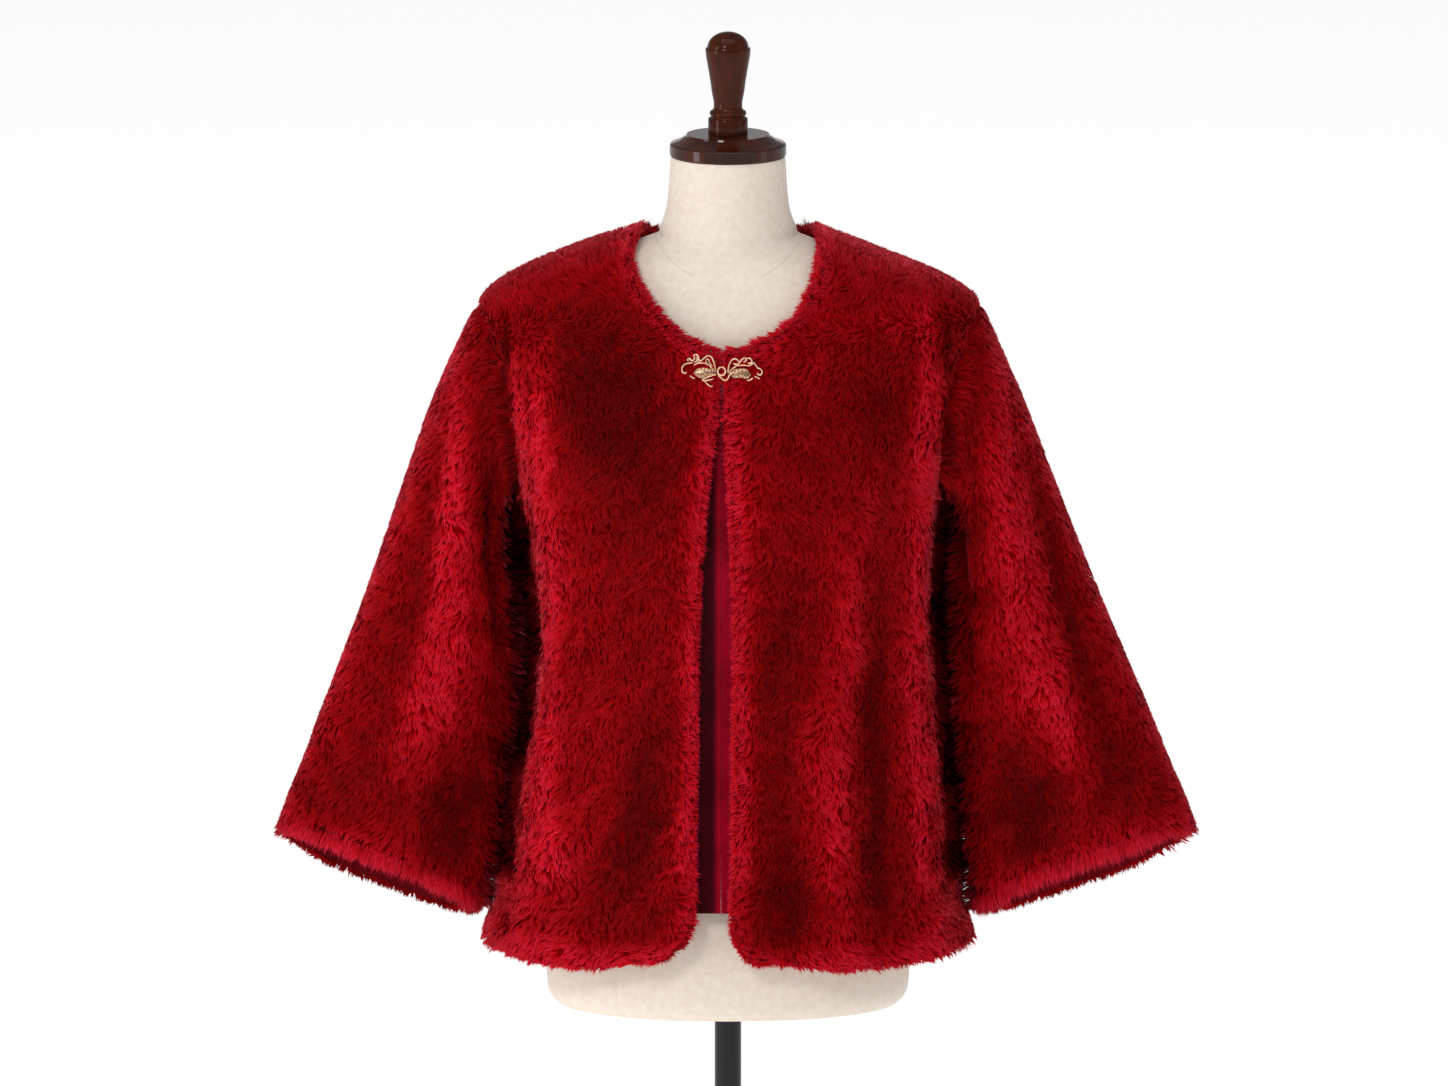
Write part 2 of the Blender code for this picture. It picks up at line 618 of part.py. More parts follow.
def build_sleeve(side_name, side):
    """Set-in bell sleeve whose first ring follows the armhole."""
    half = SLEEVE_COLUMNS // 2
    front = armhole_edge(side, False, half)
    back = armhole_edge(side, True, half)
    # Round the armhole from the shoulder tip down the front and up the back
    loop = [np.concatenate([a[::-1], b[1:-1]]) for a, b in zip(front, back)]
    loop_points, loop_through, loop_away = loop
    loop_points = loop_points + loop_away * SEAM_GAP / 2.0
    rows = np.array(SLEEVE_ROWS)[:, None]
    turns = np.linspace(0.0, 360.0, SLEEVE_COLUMNS, endpoint=False)[None, :]
    way = rows + 0.0 * turns
    turn = turns + 0.0 * rows
    tube, centre = sleeve_tube(side, way, turn)
    blend = smooth_step(way, -0.04, 0.17)
    blend = (blend - blend[0]) / (1.0 - blend[0])
    base = loop_points[None] * (1.0 - blend[..., None]) + tube * blend[..., None]
    around = np.roll(base, -1, axis=1) - np.roll(base, 1, axis=1)
    down = np.gradient(base, axis=0)
    normal = np.cross(around, down)
    normal /= np.linalg.norm(normal, axis=-1, keepdims=True)
    facing = np.sum(normal * (base - centre), axis=-1, keepdims=True)
    normal = normal * np.sign(np.mean(facing[4:]))
    points = base + normal * sleeve_relief(side_name, way, turn)[..., None]
    thickness = FUR_WALL + (HEM_WALL - FUR_WALL) * smooth_step(way, 0.88, 1.0)
    lean = 1.0 - smooth_step(way, 0.0, 0.06)
    first = loop_through[None] / np.linalg.norm(loop_through, axis=-1)[None, :, None]
    through = first * lean[..., None] - normal * (1.0 - lean[..., None])
    # Where the wall turns over at the underarm, it passes through the upward way
    bend = (lean * (1.0 - lean))[..., None] * (1.0 + np.sum(first * normal, axis=-1, keepdims=True))
    through = through + loop_away[None] * bend
    through = through / np.linalg.norm(through, axis=-1, keepdims=True) * thickness[..., None]
    through[0] = loop_through
    sheet = Sheet()
    row_count, column_count = way.shape
    for row in range(row_count):
        roundness = 1.0 if row == row_count - 1 else 0.0
        for column in range(column_count):
            sheet.add(points[row, column], through[row, column], roundness)
    for row in range(row_count - 1):
        for column in range(column_count):
            beside = (column + 1) % column_count
            face = (row * column_count + column, row * column_count + beside,
                    (row + 1) * column_count + beside, (row + 1) * column_count + column)
            sheet.faces.append(face[::-1] if side > 0 else face)
    closed_wall("sleeve_" + side_name, sheet, "fur_red")


# Satin facings: lowest height, last row of the front that they follow, columns of it that they cover
FACING_BOTTOM = 0.766
FACING_FIRST_ROW = 3
FACING_LAST_ROW = LOWER_ROWS + 3
FACING_COLUMNS = 3
FACING_MEETING = -0.0065


def build_facing(side_name, side):
    """Satin strip sewn inside a front's edge, which meets its pair in the gap."""
    angles, heights = half_panel(side, False)
    chosen = slice(FACING_FIRST_ROW, FACING_LAST_ROW + 1)
    angles = angles[chosen, :FACING_COLUMNS + 1]
    heights = heights[chosen, :FACING_COLUMNS + 1]
    angles = np.concatenate([angles[:1], angles])
    heights = np.concatenate([0.0 * heights[:1] + FACING_BOTTOM, heights])
    meeting = angle_at(FACING_MEETING, heights[:, :1])
    halfway = (meeting + angles[:, :1]) / 2.0
    angles = np.concatenate([meeting, halfway, angles], axis=1)
    heights = np.concatenate([heights[:, :1], heights[:, :1], heights], axis=1)
    outer, through = coat_wall(angles, heights)
    way = through / np.linalg.norm(through, axis=-1, keepdims=True)
    # The gap widens toward the sewn side, where the front's inner face is hollow
    widening = np.linspace(0.7, 1.8, angles.shape[1])[None, :, None]
    face_points = outer + through + way * FACING_GAP * widening
    face_points[:, 0, 0] = FACING_MEETING + side * SEAM_GAP / 2.0
    sheet = Sheet()
    rows, columns = angles.shape
    for row in range(rows):
        for column in range(columns):
            sheet.add(face_points[row, column], way[row, column] * FACING_WALL, 0.0)
    for row in range(rows - 1):
        for column in range(columns - 1):
            corner = row * columns + column
            face = (corner, corner + 1, corner + columns + 1, corner + columns)
            sheet.faces.append(face if side > 0 else face[::-1])
    closed_wall("facing_" + side_name, sheet, "satin_crimson")


def rings_to_body(name, rings, material_name):
    """Closed body through rings of equal count, from the lowest to the highest."""
    mesh = bmesh.new()
    levels = [[mesh.verts.new(point) for point in ring] for ring in rings]
    for lower, upper in zip(levels, levels[1:]):
        count = len(lower)
        for place in range(count):
            beside = (place + 1) % count
            mesh.faces.new([lower[place], lower[beside], upper[beside], upper[place]])
    mesh.faces.new(levels[0][::-1])
    mesh.faces.new(levels[-1])
    return finish(name, mesh, material_name)


def circle_ring(radius, height, count):
    """Level ring of points."""
    turns = np.linspace(0.0, 2.0 * math.pi, count, endpoint=False)
    return np.stack([radius * np.sin(turns), -radius * np.cos(turns), 0.0 * turns + height], axis=-1)


def build_form():
    """Linen body: hips to chest from its own rings, shoulders from the jacket's own inside."""
    count = 36
    turns = np.linspace(0.0, 2.0 * math.pi, count, endpoint=False)
    rings = []
    for height, half, front, back in FORM_RINGS:
        x, y = ring_point(turns, half, half, front, back)
        rings.append(np.stack([x, y, 0.0 * turns + height], axis=-1))
    for level in FORM_SHOULDER_LEVELS:
        height = 0.0 * turns + level
        narrow = 1.0 - ARM_END_INSET * (1.0 - smooth_step(level, *ARM_END_HEIGHTS))
        ring = coat_base(turns, height)
        ring = ring - surface_normal(coat_base, turns, height) * (FUR_WALL + SHOULDER_GAP)
        ring[:, 0] *= narrow
        rings.append(ring)
    for height, radius in FORM_NECK:
        rings.append(circle_ring(radius, height, count))
    rings_to_body("form_body", rings, "linen_natural")


def build_turned(name, profile, bottom, count, material_name):
    """Turned piece from its radius at each height."""
    rings = [circle_ring(radius, bottom + height, count) for radius, height in profile]
    return rings_to_body(name, rings, material_name)


def clasp_place(outward, up, lift, side):
    """Point over the fur at a place measured from the clasp's ring."""
    across = np.array(CLASP_CENTRE[0] + side * outward)
    height = np.array(CLASP_CENTRE[1] + up)
    angle = angle_at(across, height)
    return coat_base(angle, height) + surface_normal(coat_base, angle, height) * lift


def tube_along(name, path, radius, material_name):
    """Closed wire along a path of points."""
    path = np.array(path)
    heading = np.gradient(path, axis=0)
    heading /= np.linalg.norm(heading, axis=1, keepdims=True)
    ahead = np.array([0.0, -1.0, 0.0])
    count = 6
    rings = []
    for point, way in zip(path, heading):
        first = np.cross(way, ahead)
        first /= np.linalg.norm(first)
        second = np.cross(way, first)
        turns = np.linspace(0.0, 2.0 * math.pi, count, endpoint=False)
        rings.append([point + radius * (first * math.cos(t) + second * math.sin(t)) for t in turns])
    return rings_to_body(name, rings, material_name)


def build_clasp():
    """Two filigree halves and the ring that joins them."""
    lift = CLASP_STANDOFF + CLASP_WIRE_RADIUS
    keys = np.linspace(0.0, 1.0, len(CLASP_SCROLL))
    outward = tuple(zip(keys, [p[0] for p in CLASP_SCROLL]))
    upward = tuple(zip(keys, [p[1] for p in CLASP_SCROLL]))
    for side_name, side in (("left", 1.0), ("right", -1.0)):
        steps = np.linspace(0.0, 1.0, 27)
        path = [clasp_place(along(outward, s, 1), along(upward, s, 1), lift, side) for s in steps]
        tube_along("clasp_scroll_" + side_name, path, CLASP_WIRE_RADIUS, "brass_gold")
        under = [clasp_place(o, u, CLASP_STANDOFF, side) for o, u in CLASP_LEAF]
        over = [clasp_place(o, u, CLASP_STANDOFF + CLASP_LEAF_THICKNESS, side) for o, u in CLASP_LEAF]
        rings_to_body("clasp_leaf_" + side_name, [under, over], "brass_gold")
    wire = CLASP_WIRE_RADIUS
    centre = clasp_place(0.0, 0.0, lift, 1.0)
    mesh = bmesh.new()
    turns = 18
    sides = 6
    grid = []
    for step in range(turns):
        angle = 2.0 * math.pi * step / turns
        row = []
        for place in range(sides):
            tilt = 2.0 * math.pi * place / sides
            radius = CLASP_RING_RADIUS + wire * math.cos(tilt)
            row.append(mesh.verts.new(centre + np.array([radius * math.cos(angle), wire * math.sin(tilt),
                                                         radius * math.sin(angle)])))
        grid.append(row)
    for step in range(turns):
        for place in range(sides):
            mesh.faces.new([grid[step][place], grid[(step + 1) % turns][place],
                            grid[(step + 1) % turns][(place + 1) % sides], grid[step][(place + 1) % sides]])
    finish("clasp_ring", mesh, "brass_gold")


def build_stand():
    """Pole, plain foot and turned mahogany cap and finial."""
    base = ((BASE_RADIUS, 0.0), (BASE_RADIUS, BASE_THICKNESS - 0.003), (BASE_RADIUS - 0.003, BASE_THICKNESS))
    build_turned("stand_base", base, 0.0, 40, "steel_dark")
    pole_top = FORM_RINGS[0][0] - REST_GAP
    pole_bottom = BASE_THICKNESS + REST_GAP
    build_turned("stand_pole", ((POLE_RADIUS, 0.0), (POLE_RADIUS, pole_top - pole_bottom)), pole_bottom, 28,
                 "steel_dark")
    cap_bottom = NECK_TOP + REST_GAP
    build_turned("cap_disc", CAP_PROFILE, cap_bottom, 36, "mahogany")
    finial_bottom = cap_bottom + CAP_PROFILE[-1][1] + REST_GAP
    build_turned("finial", FINIAL_PROFILE, finial_bottom, 24, "mahogany")


def main():
    clear_scene()
    build_back()
    build_fronts()
    build_sleeve("left", 1.0)
    build_sleeve("right", -1.0)
    build_facing("left", 1.0)
    build_facing("right", -1.0)
    build_clasp()
    build_form()
    build_stand()


main()
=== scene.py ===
# %% Red fur jacket on a dress form
# %% [markdown]
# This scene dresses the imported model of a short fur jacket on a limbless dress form.
# Every length is in metres, +Z is up, and the wearer faces -Y. The wearer's left is at +X.
# A thin skin and many thousands of small locks stand for each fur panel, as they do on real pile cloth.
# %%
import math

import bmesh
import bpy
import numpy as np
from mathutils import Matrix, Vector


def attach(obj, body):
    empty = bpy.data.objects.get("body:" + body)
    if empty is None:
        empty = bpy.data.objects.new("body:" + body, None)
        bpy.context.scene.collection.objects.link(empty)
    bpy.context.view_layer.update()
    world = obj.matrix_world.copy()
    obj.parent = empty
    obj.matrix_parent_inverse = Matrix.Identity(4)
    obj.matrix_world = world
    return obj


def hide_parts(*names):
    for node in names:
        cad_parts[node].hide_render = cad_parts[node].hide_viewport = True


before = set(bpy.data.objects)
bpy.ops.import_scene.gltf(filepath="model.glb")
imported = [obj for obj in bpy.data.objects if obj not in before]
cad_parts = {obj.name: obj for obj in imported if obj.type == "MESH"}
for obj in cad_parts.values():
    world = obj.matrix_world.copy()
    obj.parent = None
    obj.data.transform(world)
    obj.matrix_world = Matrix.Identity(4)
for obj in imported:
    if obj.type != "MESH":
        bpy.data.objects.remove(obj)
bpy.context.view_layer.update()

# %% Camera
# %% [markdown]
# The photograph is taken from far off with a long lens, a little above the jacket.
# A long lens keeps near and far parts at nearly one scale, which is why the neck and the hem both look level.
# %%
PHOTO_PIXELS = 1448
METRES_PER_PIXEL = 0.00093
SENSOR_WIDTH = 36.0
CAMERA_DISTANCE = 22.0
CAMERA_ELEVATION = math.radians(10.5)
CAMERA_AIM = (-0.0037, 0.0, 1.0894)


def add_object(name, data):
    """Put data into the scene as an object."""
    made = bpy.data.objects.new(name, data)
    bpy.context.scene.collection.objects.link(made)
    return made


camera_data = bpy.data.cameras.new("camera")
camera_data.sensor_width = SENSOR_WIDTH
camera_data.lens = SENSOR_WIDTH * CAMERA_DISTANCE / (PHOTO_PIXELS * METRES_PER_PIXEL)
camera_data.clip_end = 100.0
camera = add_object("camera", camera_data)
camera.location = (CAMERA_AIM[0],
                   CAMERA_AIM[1] - CAMERA_DISTANCE * math.cos(CAMERA_ELEVATION),
                   CAMERA_AIM[2] + CAMERA_DISTANCE * math.sin(CAMERA_ELEVATION))
camera.rotation_euler = (math.pi / 2.0 - CAMERA_ELEVATION, 0.0, 0.0)
bpy.context.scene.camera = camera

# %% Materials
# %% [markdown]
# Hex colours are how paint and cloth are usually noted down. Blender mixes light in linear values,
# so one function turns the one into the other. A few more small functions build the node trees,
# so that each material reads as a short recipe.
# %%
WHITE = (1.0, 1.0, 1.0, 1.0)


def linear(code):
    """Linear colour from an sRGB hex code."""
    parts = [int(code[place:place + 2], 16) / 255.0 for place in (1, 3, 5)]
    parts = [p / 12.92 if p <= 0.04045 else ((p + 0.055) / 1.055) ** 2.4 for p in parts]
    return (*parts, 1.0)


def node(tree, kind, inputs=(), **settings):
    """Add a node with its settings, and set or link its inputs."""
    made = tree.nodes.new(kind)
    for key, value in settings.items():
        setattr(made, key, value)
    for place, value in dict(inputs).items():
        if isinstance(value, bpy.types.NodeSocket):
            tree.links.new(value, made.inputs[place])
        else:
            made.inputs[place].default_value = value
    return made


def ramp(tree, factor, *stops):
    """Colour ramp through places, each followed by a hex code, a grey level or a linear colour."""
    made = node(tree, "ShaderNodeValToRGB", {"Fac": factor})
    points = made.color_ramp.elements
    while len(points) < len(stops) // 2:
        points.new(0.5)
    for point, place, colour in zip(points, stops[::2], stops[1::2]):
        point.position = place
        point.color = linear(colour) if isinstance(colour, str) else (*np.broadcast_to(colour, 3), 1.0)
    return made.outputs["Color"]


def blend(tree, share, first, second, way="MULTIPLY"):
    """Two colours multiplied or mixed."""
    return node(tree, "ShaderNodeMix", {0: share, 6: first, 7: second}, data_type="RGBA",
                blend_type=way).outputs[2]


def position(tree):
    """Place on the object itself, in metres, so that a pattern keeps its real size."""
    return node(tree, "ShaderNodeTexCoord").outputs["Object"]


def noise(tree, scale, detail, vector=None, distortion=0.0):
    """Soft uneven pattern."""
    return node(tree, "ShaderNodeTexNoise", {"Vector": position(tree) if vector is None else vector,
                "Scale": scale, "Detail": detail, "Distortion": distortion}).outputs["Fac"]


def stripes(tree, scale, distortion, bands, detail_scale=1.0):
    """Wavy threads that run across the X or the Z axis."""
    return node(tree, "ShaderNodeTexWave", {"Vector": position(tree), "Scale": scale, "Distortion": distortion,
                "Detail Scale": detail_scale}, bands_direction=bands).outputs["Fac"]


def bumped(tree, height, strength, distance):
    """Shading normal tilted by a pattern of heights."""
    return node(tree, "ShaderNodeBump", {"Height": height, "Strength": strength,
                "Distance": distance}).outputs["Normal"]


def new_material(name, **values):
    """A material with its Principled shader, whose even values are set here."""
    made = bpy.data.materials.new(name)
    made.use_nodes = True
    shader = made.node_tree.nodes["Principled BSDF"]
    for key, value in values.items():
        shader.inputs[key.replace("_", " ")].default_value = value
    return made, made.node_tree, shader


def feed(shader, **patterns):
    """Link patterns to the shader's sockets."""
    for key, value in patterns.items():
        shader.id_data.links.new(value, shader.inputs[key.replace("_", " ")])


# %% [markdown]
# Fur is painted dark at its roots, as painted shade where little light reaches, and brighter toward the tips.
# Each lock carries three numbers: how far along it a point is, a tone for its clump that also carries painted light
# and shade, and a tone of its own.
# Sheen is the pale bloom that pile cloth shows where it is seen edge on. Its weight follows the same tone, so it
# fades where shade is painted.
# %%
fur_pile, tree, shader = new_material("fur_pile", Roughness=0.62, IOR=1.45, Specular_IOR_Level=0.04,
                                      Sheen_Weight=1.0, Sheen_Roughness=0.36, Sheen_Tint=linear("#FF5464"))
strand = node(tree, "ShaderNodeVertexColor", layer_name="strand").outputs["Color"]
tones = node(tree, "ShaderNodeSeparateColor", {"Color": strand}).outputs
colour = ramp(tree, tones["Red"], 0.0, "#AC0004", 0.38, "#B80005", 0.75, "#C0040D", 1.0, "#CE1524")
# Low tones give painted shade, and high tones give a painted pink highlight
clump_and_painted_light = ramp(tree, tones["Green"], 0.0, (0.24, 0.15, 0.2), 0.5, (0.72, 0.6, 0.8), 0.8, (1.1, 2.2, 2.6),
             1.0, (1.4, 5.0, 5.5))
own = ramp(tree, tones["Blue"], 0.0, (0.93, 0.85, 0.85), 1.0, 1.0)
patchy = ramp(tree, noise(tree, 11.0, 3.0), 0.3, (0.78, 0.6, 0.6), 0.7, 1.0)
for other in (clump_and_painted_light, own, patchy):
    colour = blend(tree, 1.0, colour, other)
feed(shader, Base_Color=colour, Sheen_Weight=ramp(tree, tones["Green"], 0.1, 0.0, 0.6, 0.8, 1.0, 1.0))

# %% [markdown]
# The knitted backing that the pile grows from is almost hidden, so it is plain and dark.
# Its ribs are 1.5 mm wide, a little coarser than real ones so that they still show.
# %%
fur_backing, tree, shader = new_material("fur_backing", Roughness=0.9, IOR=1.45, Specular_IOR_Level=0.02)
ribs = noise(tree, 650.0, 1.0)
feed(shader, Base_Color=ramp(tree, ribs, 0.3, "#740004", 0.7, "#8E0008"), Normal=bumped(tree, ribs, 0.4, 0.0008))

# %% [markdown]
# Satin's long float threads give it one broad soft highlight. Its roughness is near 0.4.
# The sleeves' insides get a deeper red, as painted shade. The facings get a painted shadow of
# the right front, so they darken toward it across about a centimetre.
# %%
FACING_SHADE = (-0.0140, -0.0080)


def variant(material, name):
    """Copy of a material under a name of its own, and its nodes by type."""
    made = material.copy()
    made.name = name
    kinds = {}
    for item in made.node_tree.nodes:
        kinds.setdefault(item.type, []).append(item)
    return made, kinds


def axis(tree, letter):
    """Place along one axis of the object."""
    return node(tree, "ShaderNodeSeparateXYZ", {"Vector": position(tree)}).outputs[letter]


def mapped(tree, value, *limits):
    """Value moved from a first range to a second one, and held inside it."""
    return node(tree, "ShaderNodeMapRange", enumerate((value, *limits))).outputs[0]


satin_lining, tree, shader = new_material("satin_lining", Roughness=0.42, IOR=1.5, Anisotropic=0.5,
                                          Specular_IOR_Level=0.04)
feed(shader, Base_Color=ramp(tree, noise(tree, 28.0, 3.0), 0.3, "#86001A", 0.7, "#A80226"),
     Normal=bumped(tree, stripes(tree, 220.0, 1.5, "Z"), 0.12, 0.0003))

# Painted shade: a darker copy of the satin for the sleeves' shaded insides
satin_painted_shade, kinds = variant(satin_lining, "satin_painted_shade")
for point, code in zip(kinds["VALTORGB"][0].color_ramp.elements, ("#5A0008", "#72000F")):
    point.color = linear(code)

# Painted shadow: the facings' satin darkens toward the right front
satin_facing_painted_shadow, kinds = variant(satin_lining, "satin_facing_painted_shadow")
tree, shader = satin_facing_painted_shadow.node_tree, kinds["BSDF_PRINCIPLED"][0]
plain = shader.inputs["Base Color"].links[0].from_socket
shade = mapped(tree, axis(tree, "X"), *FACING_SHADE, 0.0, 1.0)
feed(shader, Base_Color=blend(tree, 1.0, plain, ramp(tree, shade, 0.0, (0.13, 0.2, 0.16), 1.0, 1.0)))

# %% [markdown]
# Linen has uneven threads over and under each other. They are drawn 1.1 mm wide,
# about twice the real width, because finer ones are lost at this distance.
# The seam at the foot of the neck dips toward the front, where its height grows with across squared.
# %%
NECK_SEAM_HEIGHT = 1.3485
NECK_SEAM_BEND = 7.0
NECK_SEAM_EDGE = (0.0002, 0.0009)
NECK_SEAM_ENDS = (0.0009, 0.0018)


def maths(tree, operation, *values):
    """Sum, product or the like of values."""
    return node(tree, "ShaderNodeMath", enumerate(values), operation=operation).outputs[0]


linen, tree, shader = new_material("linen_natural", Roughness=0.85, IOR=1.45, Sheen_Weight=0.2,
                                   Sheen_Roughness=0.5)
weave = maths(tree, "MULTIPLY", *(stripes(tree, 140.0, 1.2, bands, 3.0) for bands in "XZ"))
colour = ramp(tree, noise(tree, 160.0, 2.0), 0.3, "#F0E0CF", 0.7, "#F8EBDE")
colour = blend(tree, 0.25, colour, ramp(tree, weave, 0.0, (0.86, 0.84, 0.8), 0.6, 1.0))
squared = maths(tree, "MULTIPLY", axis(tree, "X"), axis(tree, "X"))
seam = maths(tree, "MULTIPLY_ADD", squared, NECK_SEAM_BEND, NECK_SEAM_HEIGHT)
away = maths(tree, "ABSOLUTE", maths(tree, "SUBTRACT", axis(tree, "Z"), seam))
seam = maths(tree, "MAXIMUM", mapped(tree, away, *NECK_SEAM_EDGE, 0.82, 1.0),
             mapped(tree, squared, *NECK_SEAM_ENDS, 1.0, 0.0))
seam = node(tree, "ShaderNodeCombineColor", {0: seam, 1: seam, 2: seam}).outputs[0]
feed(shader, Base_Color=blend(tree, 1.0, colour, seam), Normal=bumped(tree, weave, 0.25, 0.0004))

# %% [markdown]
# Turned mahogany: the grain runs up the piece, and a gloss lacquer lies over it as a coat.
# The cap has a thicker coat, which mirrors the pale room in its flat top.
# %%
mahogany, tree, shader = new_material("mahogany_lacquered", Roughness=0.35, IOR=1.5, Specular_IOR_Level=0.02,
                                      Coat_Weight=0.26, Coat_Roughness=0.05, Coat_IOR=1.5)
long_way = node(tree, "ShaderNodeMapping", {"Vector": position(tree), "Scale": (1.0, 1.0, 0.08)}).outputs["Vector"]
grain = ramp(tree, noise(tree, 260.0, 4.0, long_way, 0.6), 0.35, "#1C0804", 0.65, "#421A0C")
figure = ramp(tree, noise(tree, 45.0, 2.0, long_way), 0.35, "#260D06", 0.65, "#542410")
feed(shader, Base_Color=blend(tree, 0.6, grain, figure, "MIX"))

mahogany_cap, kinds = variant(mahogany, "mahogany_cap")
kinds["BSDF_PRINCIPLED"][0].inputs["Coat Weight"].default_value = 0.5

# %% [markdown]
# Gilt brass keeps the metal's own default IOR. Handling leaves it unevenly bright.
# The leaves are pierced like lace, so between the wires they are darker, in finer spots.
# %%
gold, tree, shader = new_material("gilt_brass", Metallic=1.0)
wear = noise(tree, 420.0, 2.0)
feed(shader, Base_Color=ramp(tree, wear, 0.3, "#F0B686", 0.65, "#FFE4C6"),
     Roughness=ramp(tree, wear, 0.3, 0.55, 0.7, 0.42))

gold_net, kinds = variant(gold, "gilt_brass_pierced")
kinds["TEX_NOISE"][0].inputs["Scale"].default_value = 1100.0
for item in kinds["VALTORGB"]:
    item.color_ramp.elements[0].position = 0.42
    item.color_ramp.elements[0].color = linear("#A06A40")

# %% [markdown]
# The stand is steel with a dark satin paint, which has a faint grain like the peel of an orange.
# %%
steel, tree, shader = new_material("painted_steel", Roughness=0.22, IOR=1.5, Specular_IOR_Level=0.3)
peel = noise(tree, 500.0, 1.0)
feed(shader, Base_Color=ramp(tree, peel, 0.3, "#0E0C0C", 0.7, "#181616"), Normal=bumped(tree, peel, 0.05, 0.0004))

# %% Tables shared with the solids
# %% [markdown]
# The panels follow the same sizes as the solids, so that each lock grows from the right place.
# The jacket is a stack of rounded rings, with folds laid over them.
# %%
FUR_WALL = 0.0120
HEM_WALL = 0.0150
FACING_WALL = 0.0018
SEAM_GAP = 0.0004
REST_GAP = 0.0006
SHOULDER_GAP = 0.0027
FACING_GAP = 0.0011
ROUNDNESS = 2.2
HEM_HEIGHT = 0.712
UNDERARM_HEIGHT = 1.140
SIDE_HEM_LIFT = 0.008
CORNER_RISE = 0.010
CORNER_SHARE = 0.28
CORNER_FADE = 0.05
NECK_SIDE_HEIGHT = 1.3875
FRONT_NECK_HEIGHT = 1.289
BACK_NECK_HEIGHT = 1.359
SHOULDER_TURN = 0.020
POLE_RADIUS = 0.0125
BASE_RADIUS = 0.150
BASE_THICKNESS = 0.012
NECK_TOP = 1.4545
FRONT_COLUMNS = 14
LOWER_ROWS = 13
UPPER_ROWS = 13
BACK_NECK_ROWS = 5
FRONT_EDGE_ROWS = 4
SLEEVE_COLUMNS = 2 * UPPER_ROWS
ROWS = LOWER_ROWS + UPPER_ROWS

# Jacket outline: height, right half width, left half width, front depth, back depth
COAT_RINGS = (
    (0.7, 0.23, 0.231, 0.152, 0.15), (0.725, 0.2285, 0.2295, 0.152, 0.149), (0.76, 0.215, 0.216, 0.149, 0.145),
    (0.801, 0.2074, 0.211, 0.146, 0.139), (0.862, 0.2, 0.2075, 0.142, 0.131), (0.937, 0.1851, 0.201, 0.138, 0.123),
    (0.998, 0.1776, 0.1962, 0.137, 0.12), (1.058, 0.1835, 0.1925, 0.141, 0.121), (1.119, 0.195, 0.1972, 0.146, 0.125),
    (1.16, 0.205, 0.206, 0.147, 0.127), (1.21, 0.219, 0.22, 0.141, 0.125), (1.26, 0.231, 0.232, 0.131, 0.119),
    (1.3, 0.236, 0.237, 0.12, 0.113), (1.319, 0.232, 0.234, 0.114, 0.107), (1.333, 0.2205, 0.2185, 0.109, 0.102),
    (1.347, 0.199, 0.193, 0.103, 0.097), (1.362, 0.166, 0.155, 0.096, 0.091), (1.378, 0.12, 0.114, 0.088, 0.084),
    (1.388, 0.085, 0.085, 0.081, 0.079),
)

# Front edges: height, across for the right front, across for the left front
FRONT_EDGES = (
    (0.712, -0.064, 0.022), (0.732, -0.044, 0.01), (0.76, -0.0365, 0.0065), (0.805, -0.0355, 0.008),
    (0.932, -0.034, 0.0095), (0.997, -0.0335, 0.01), (1.07, -0.0305, 0.009), (1.133, -0.0262, 0.006),
    (1.197, -0.0195, 0.003), (1.25, -0.0125, 0.001), (1.289, -0.0125, 0.001),
)

# Neck edge past the front corner, and past the middle of the back: height, across
FRONT_NECK = (
    (1.2955, 0.027), (1.305, 0.048), (1.321, 0.067), (1.343, 0.0815), (1.366, 0.089), (1.377, 0.0895),
    (1.3845, 0.088),
)
BACK_NECK = (
    (1.3605, 0.022), (1.364, 0.042), (1.37, 0.058), (1.3775, 0.071), (1.384, 0.079),
)

# Armhole from underarm to shoulder tip: height, angle from the front middle in degrees
ARMHOLE = (
    (1.14, 90.0), (1.146, 79.0), (1.163, 71.0), (1.195, 66.5), (1.24, 65.0), (1.28, 68.0), (1.303, 76.0),
    (1.316, 90.0),
)

# %% [markdown]
# Folds lie along lines of points. Each has a width, and its height over the smooth cloth
# changes from point to point.
# %%
# Folds of the body: width in degrees, then height, across, relief of each point on the line
BODY_FOLDS = (
    (9.0, ((0.735, -0.185, 0.003), (0.89, -0.175, 0.005), (0.991, -0.163, 0.006), (1.136, -0.168, 0.006),
           (1.224, -0.181, 0.005), (1.3, -0.2, 0.0))),
    (8.0, ((0.75, -0.118, -0.003), (0.827, -0.1, -0.005), (0.928, -0.063, -0.004), (1.02, -0.05, 0.0))),
    (13.0, ((1.18, -0.11, 0.0), (1.26, -0.115, -0.004), (1.31, -0.12, 0.0))),
    (8.0, ((0.735, 0.19, 0.003), (0.865, 0.185, 0.005), (0.991, 0.176, 0.006), (1.117, 0.179, 0.006),
           (1.224, 0.185, 0.005), (1.31, 0.194, 0.0))),
    (6.5, ((0.725, 0.1, 0.003), (0.801, 0.098, 0.006), (0.928, 0.092, 0.006), (1.054, 0.111, 0.005),
           (1.168, 0.104, 0.0))),
    (5.5, ((0.74, 0.137, -0.003), (0.865, 0.133, -0.005), (1.054, 0.136, -0.003), (1.15, 0.138, 0.0))),
    (7.0, ((0.74, 0.056, -0.003), (0.801, 0.055, -0.005), (0.978, 0.042, -0.004), (1.066, 0.06, -0.003),
           (1.16, 0.066, 0.0))),
    (12.0, ((1.17, 0.15, 0.0), (1.243, 0.153, -0.004), (1.31, 0.15, 0.0))),
)
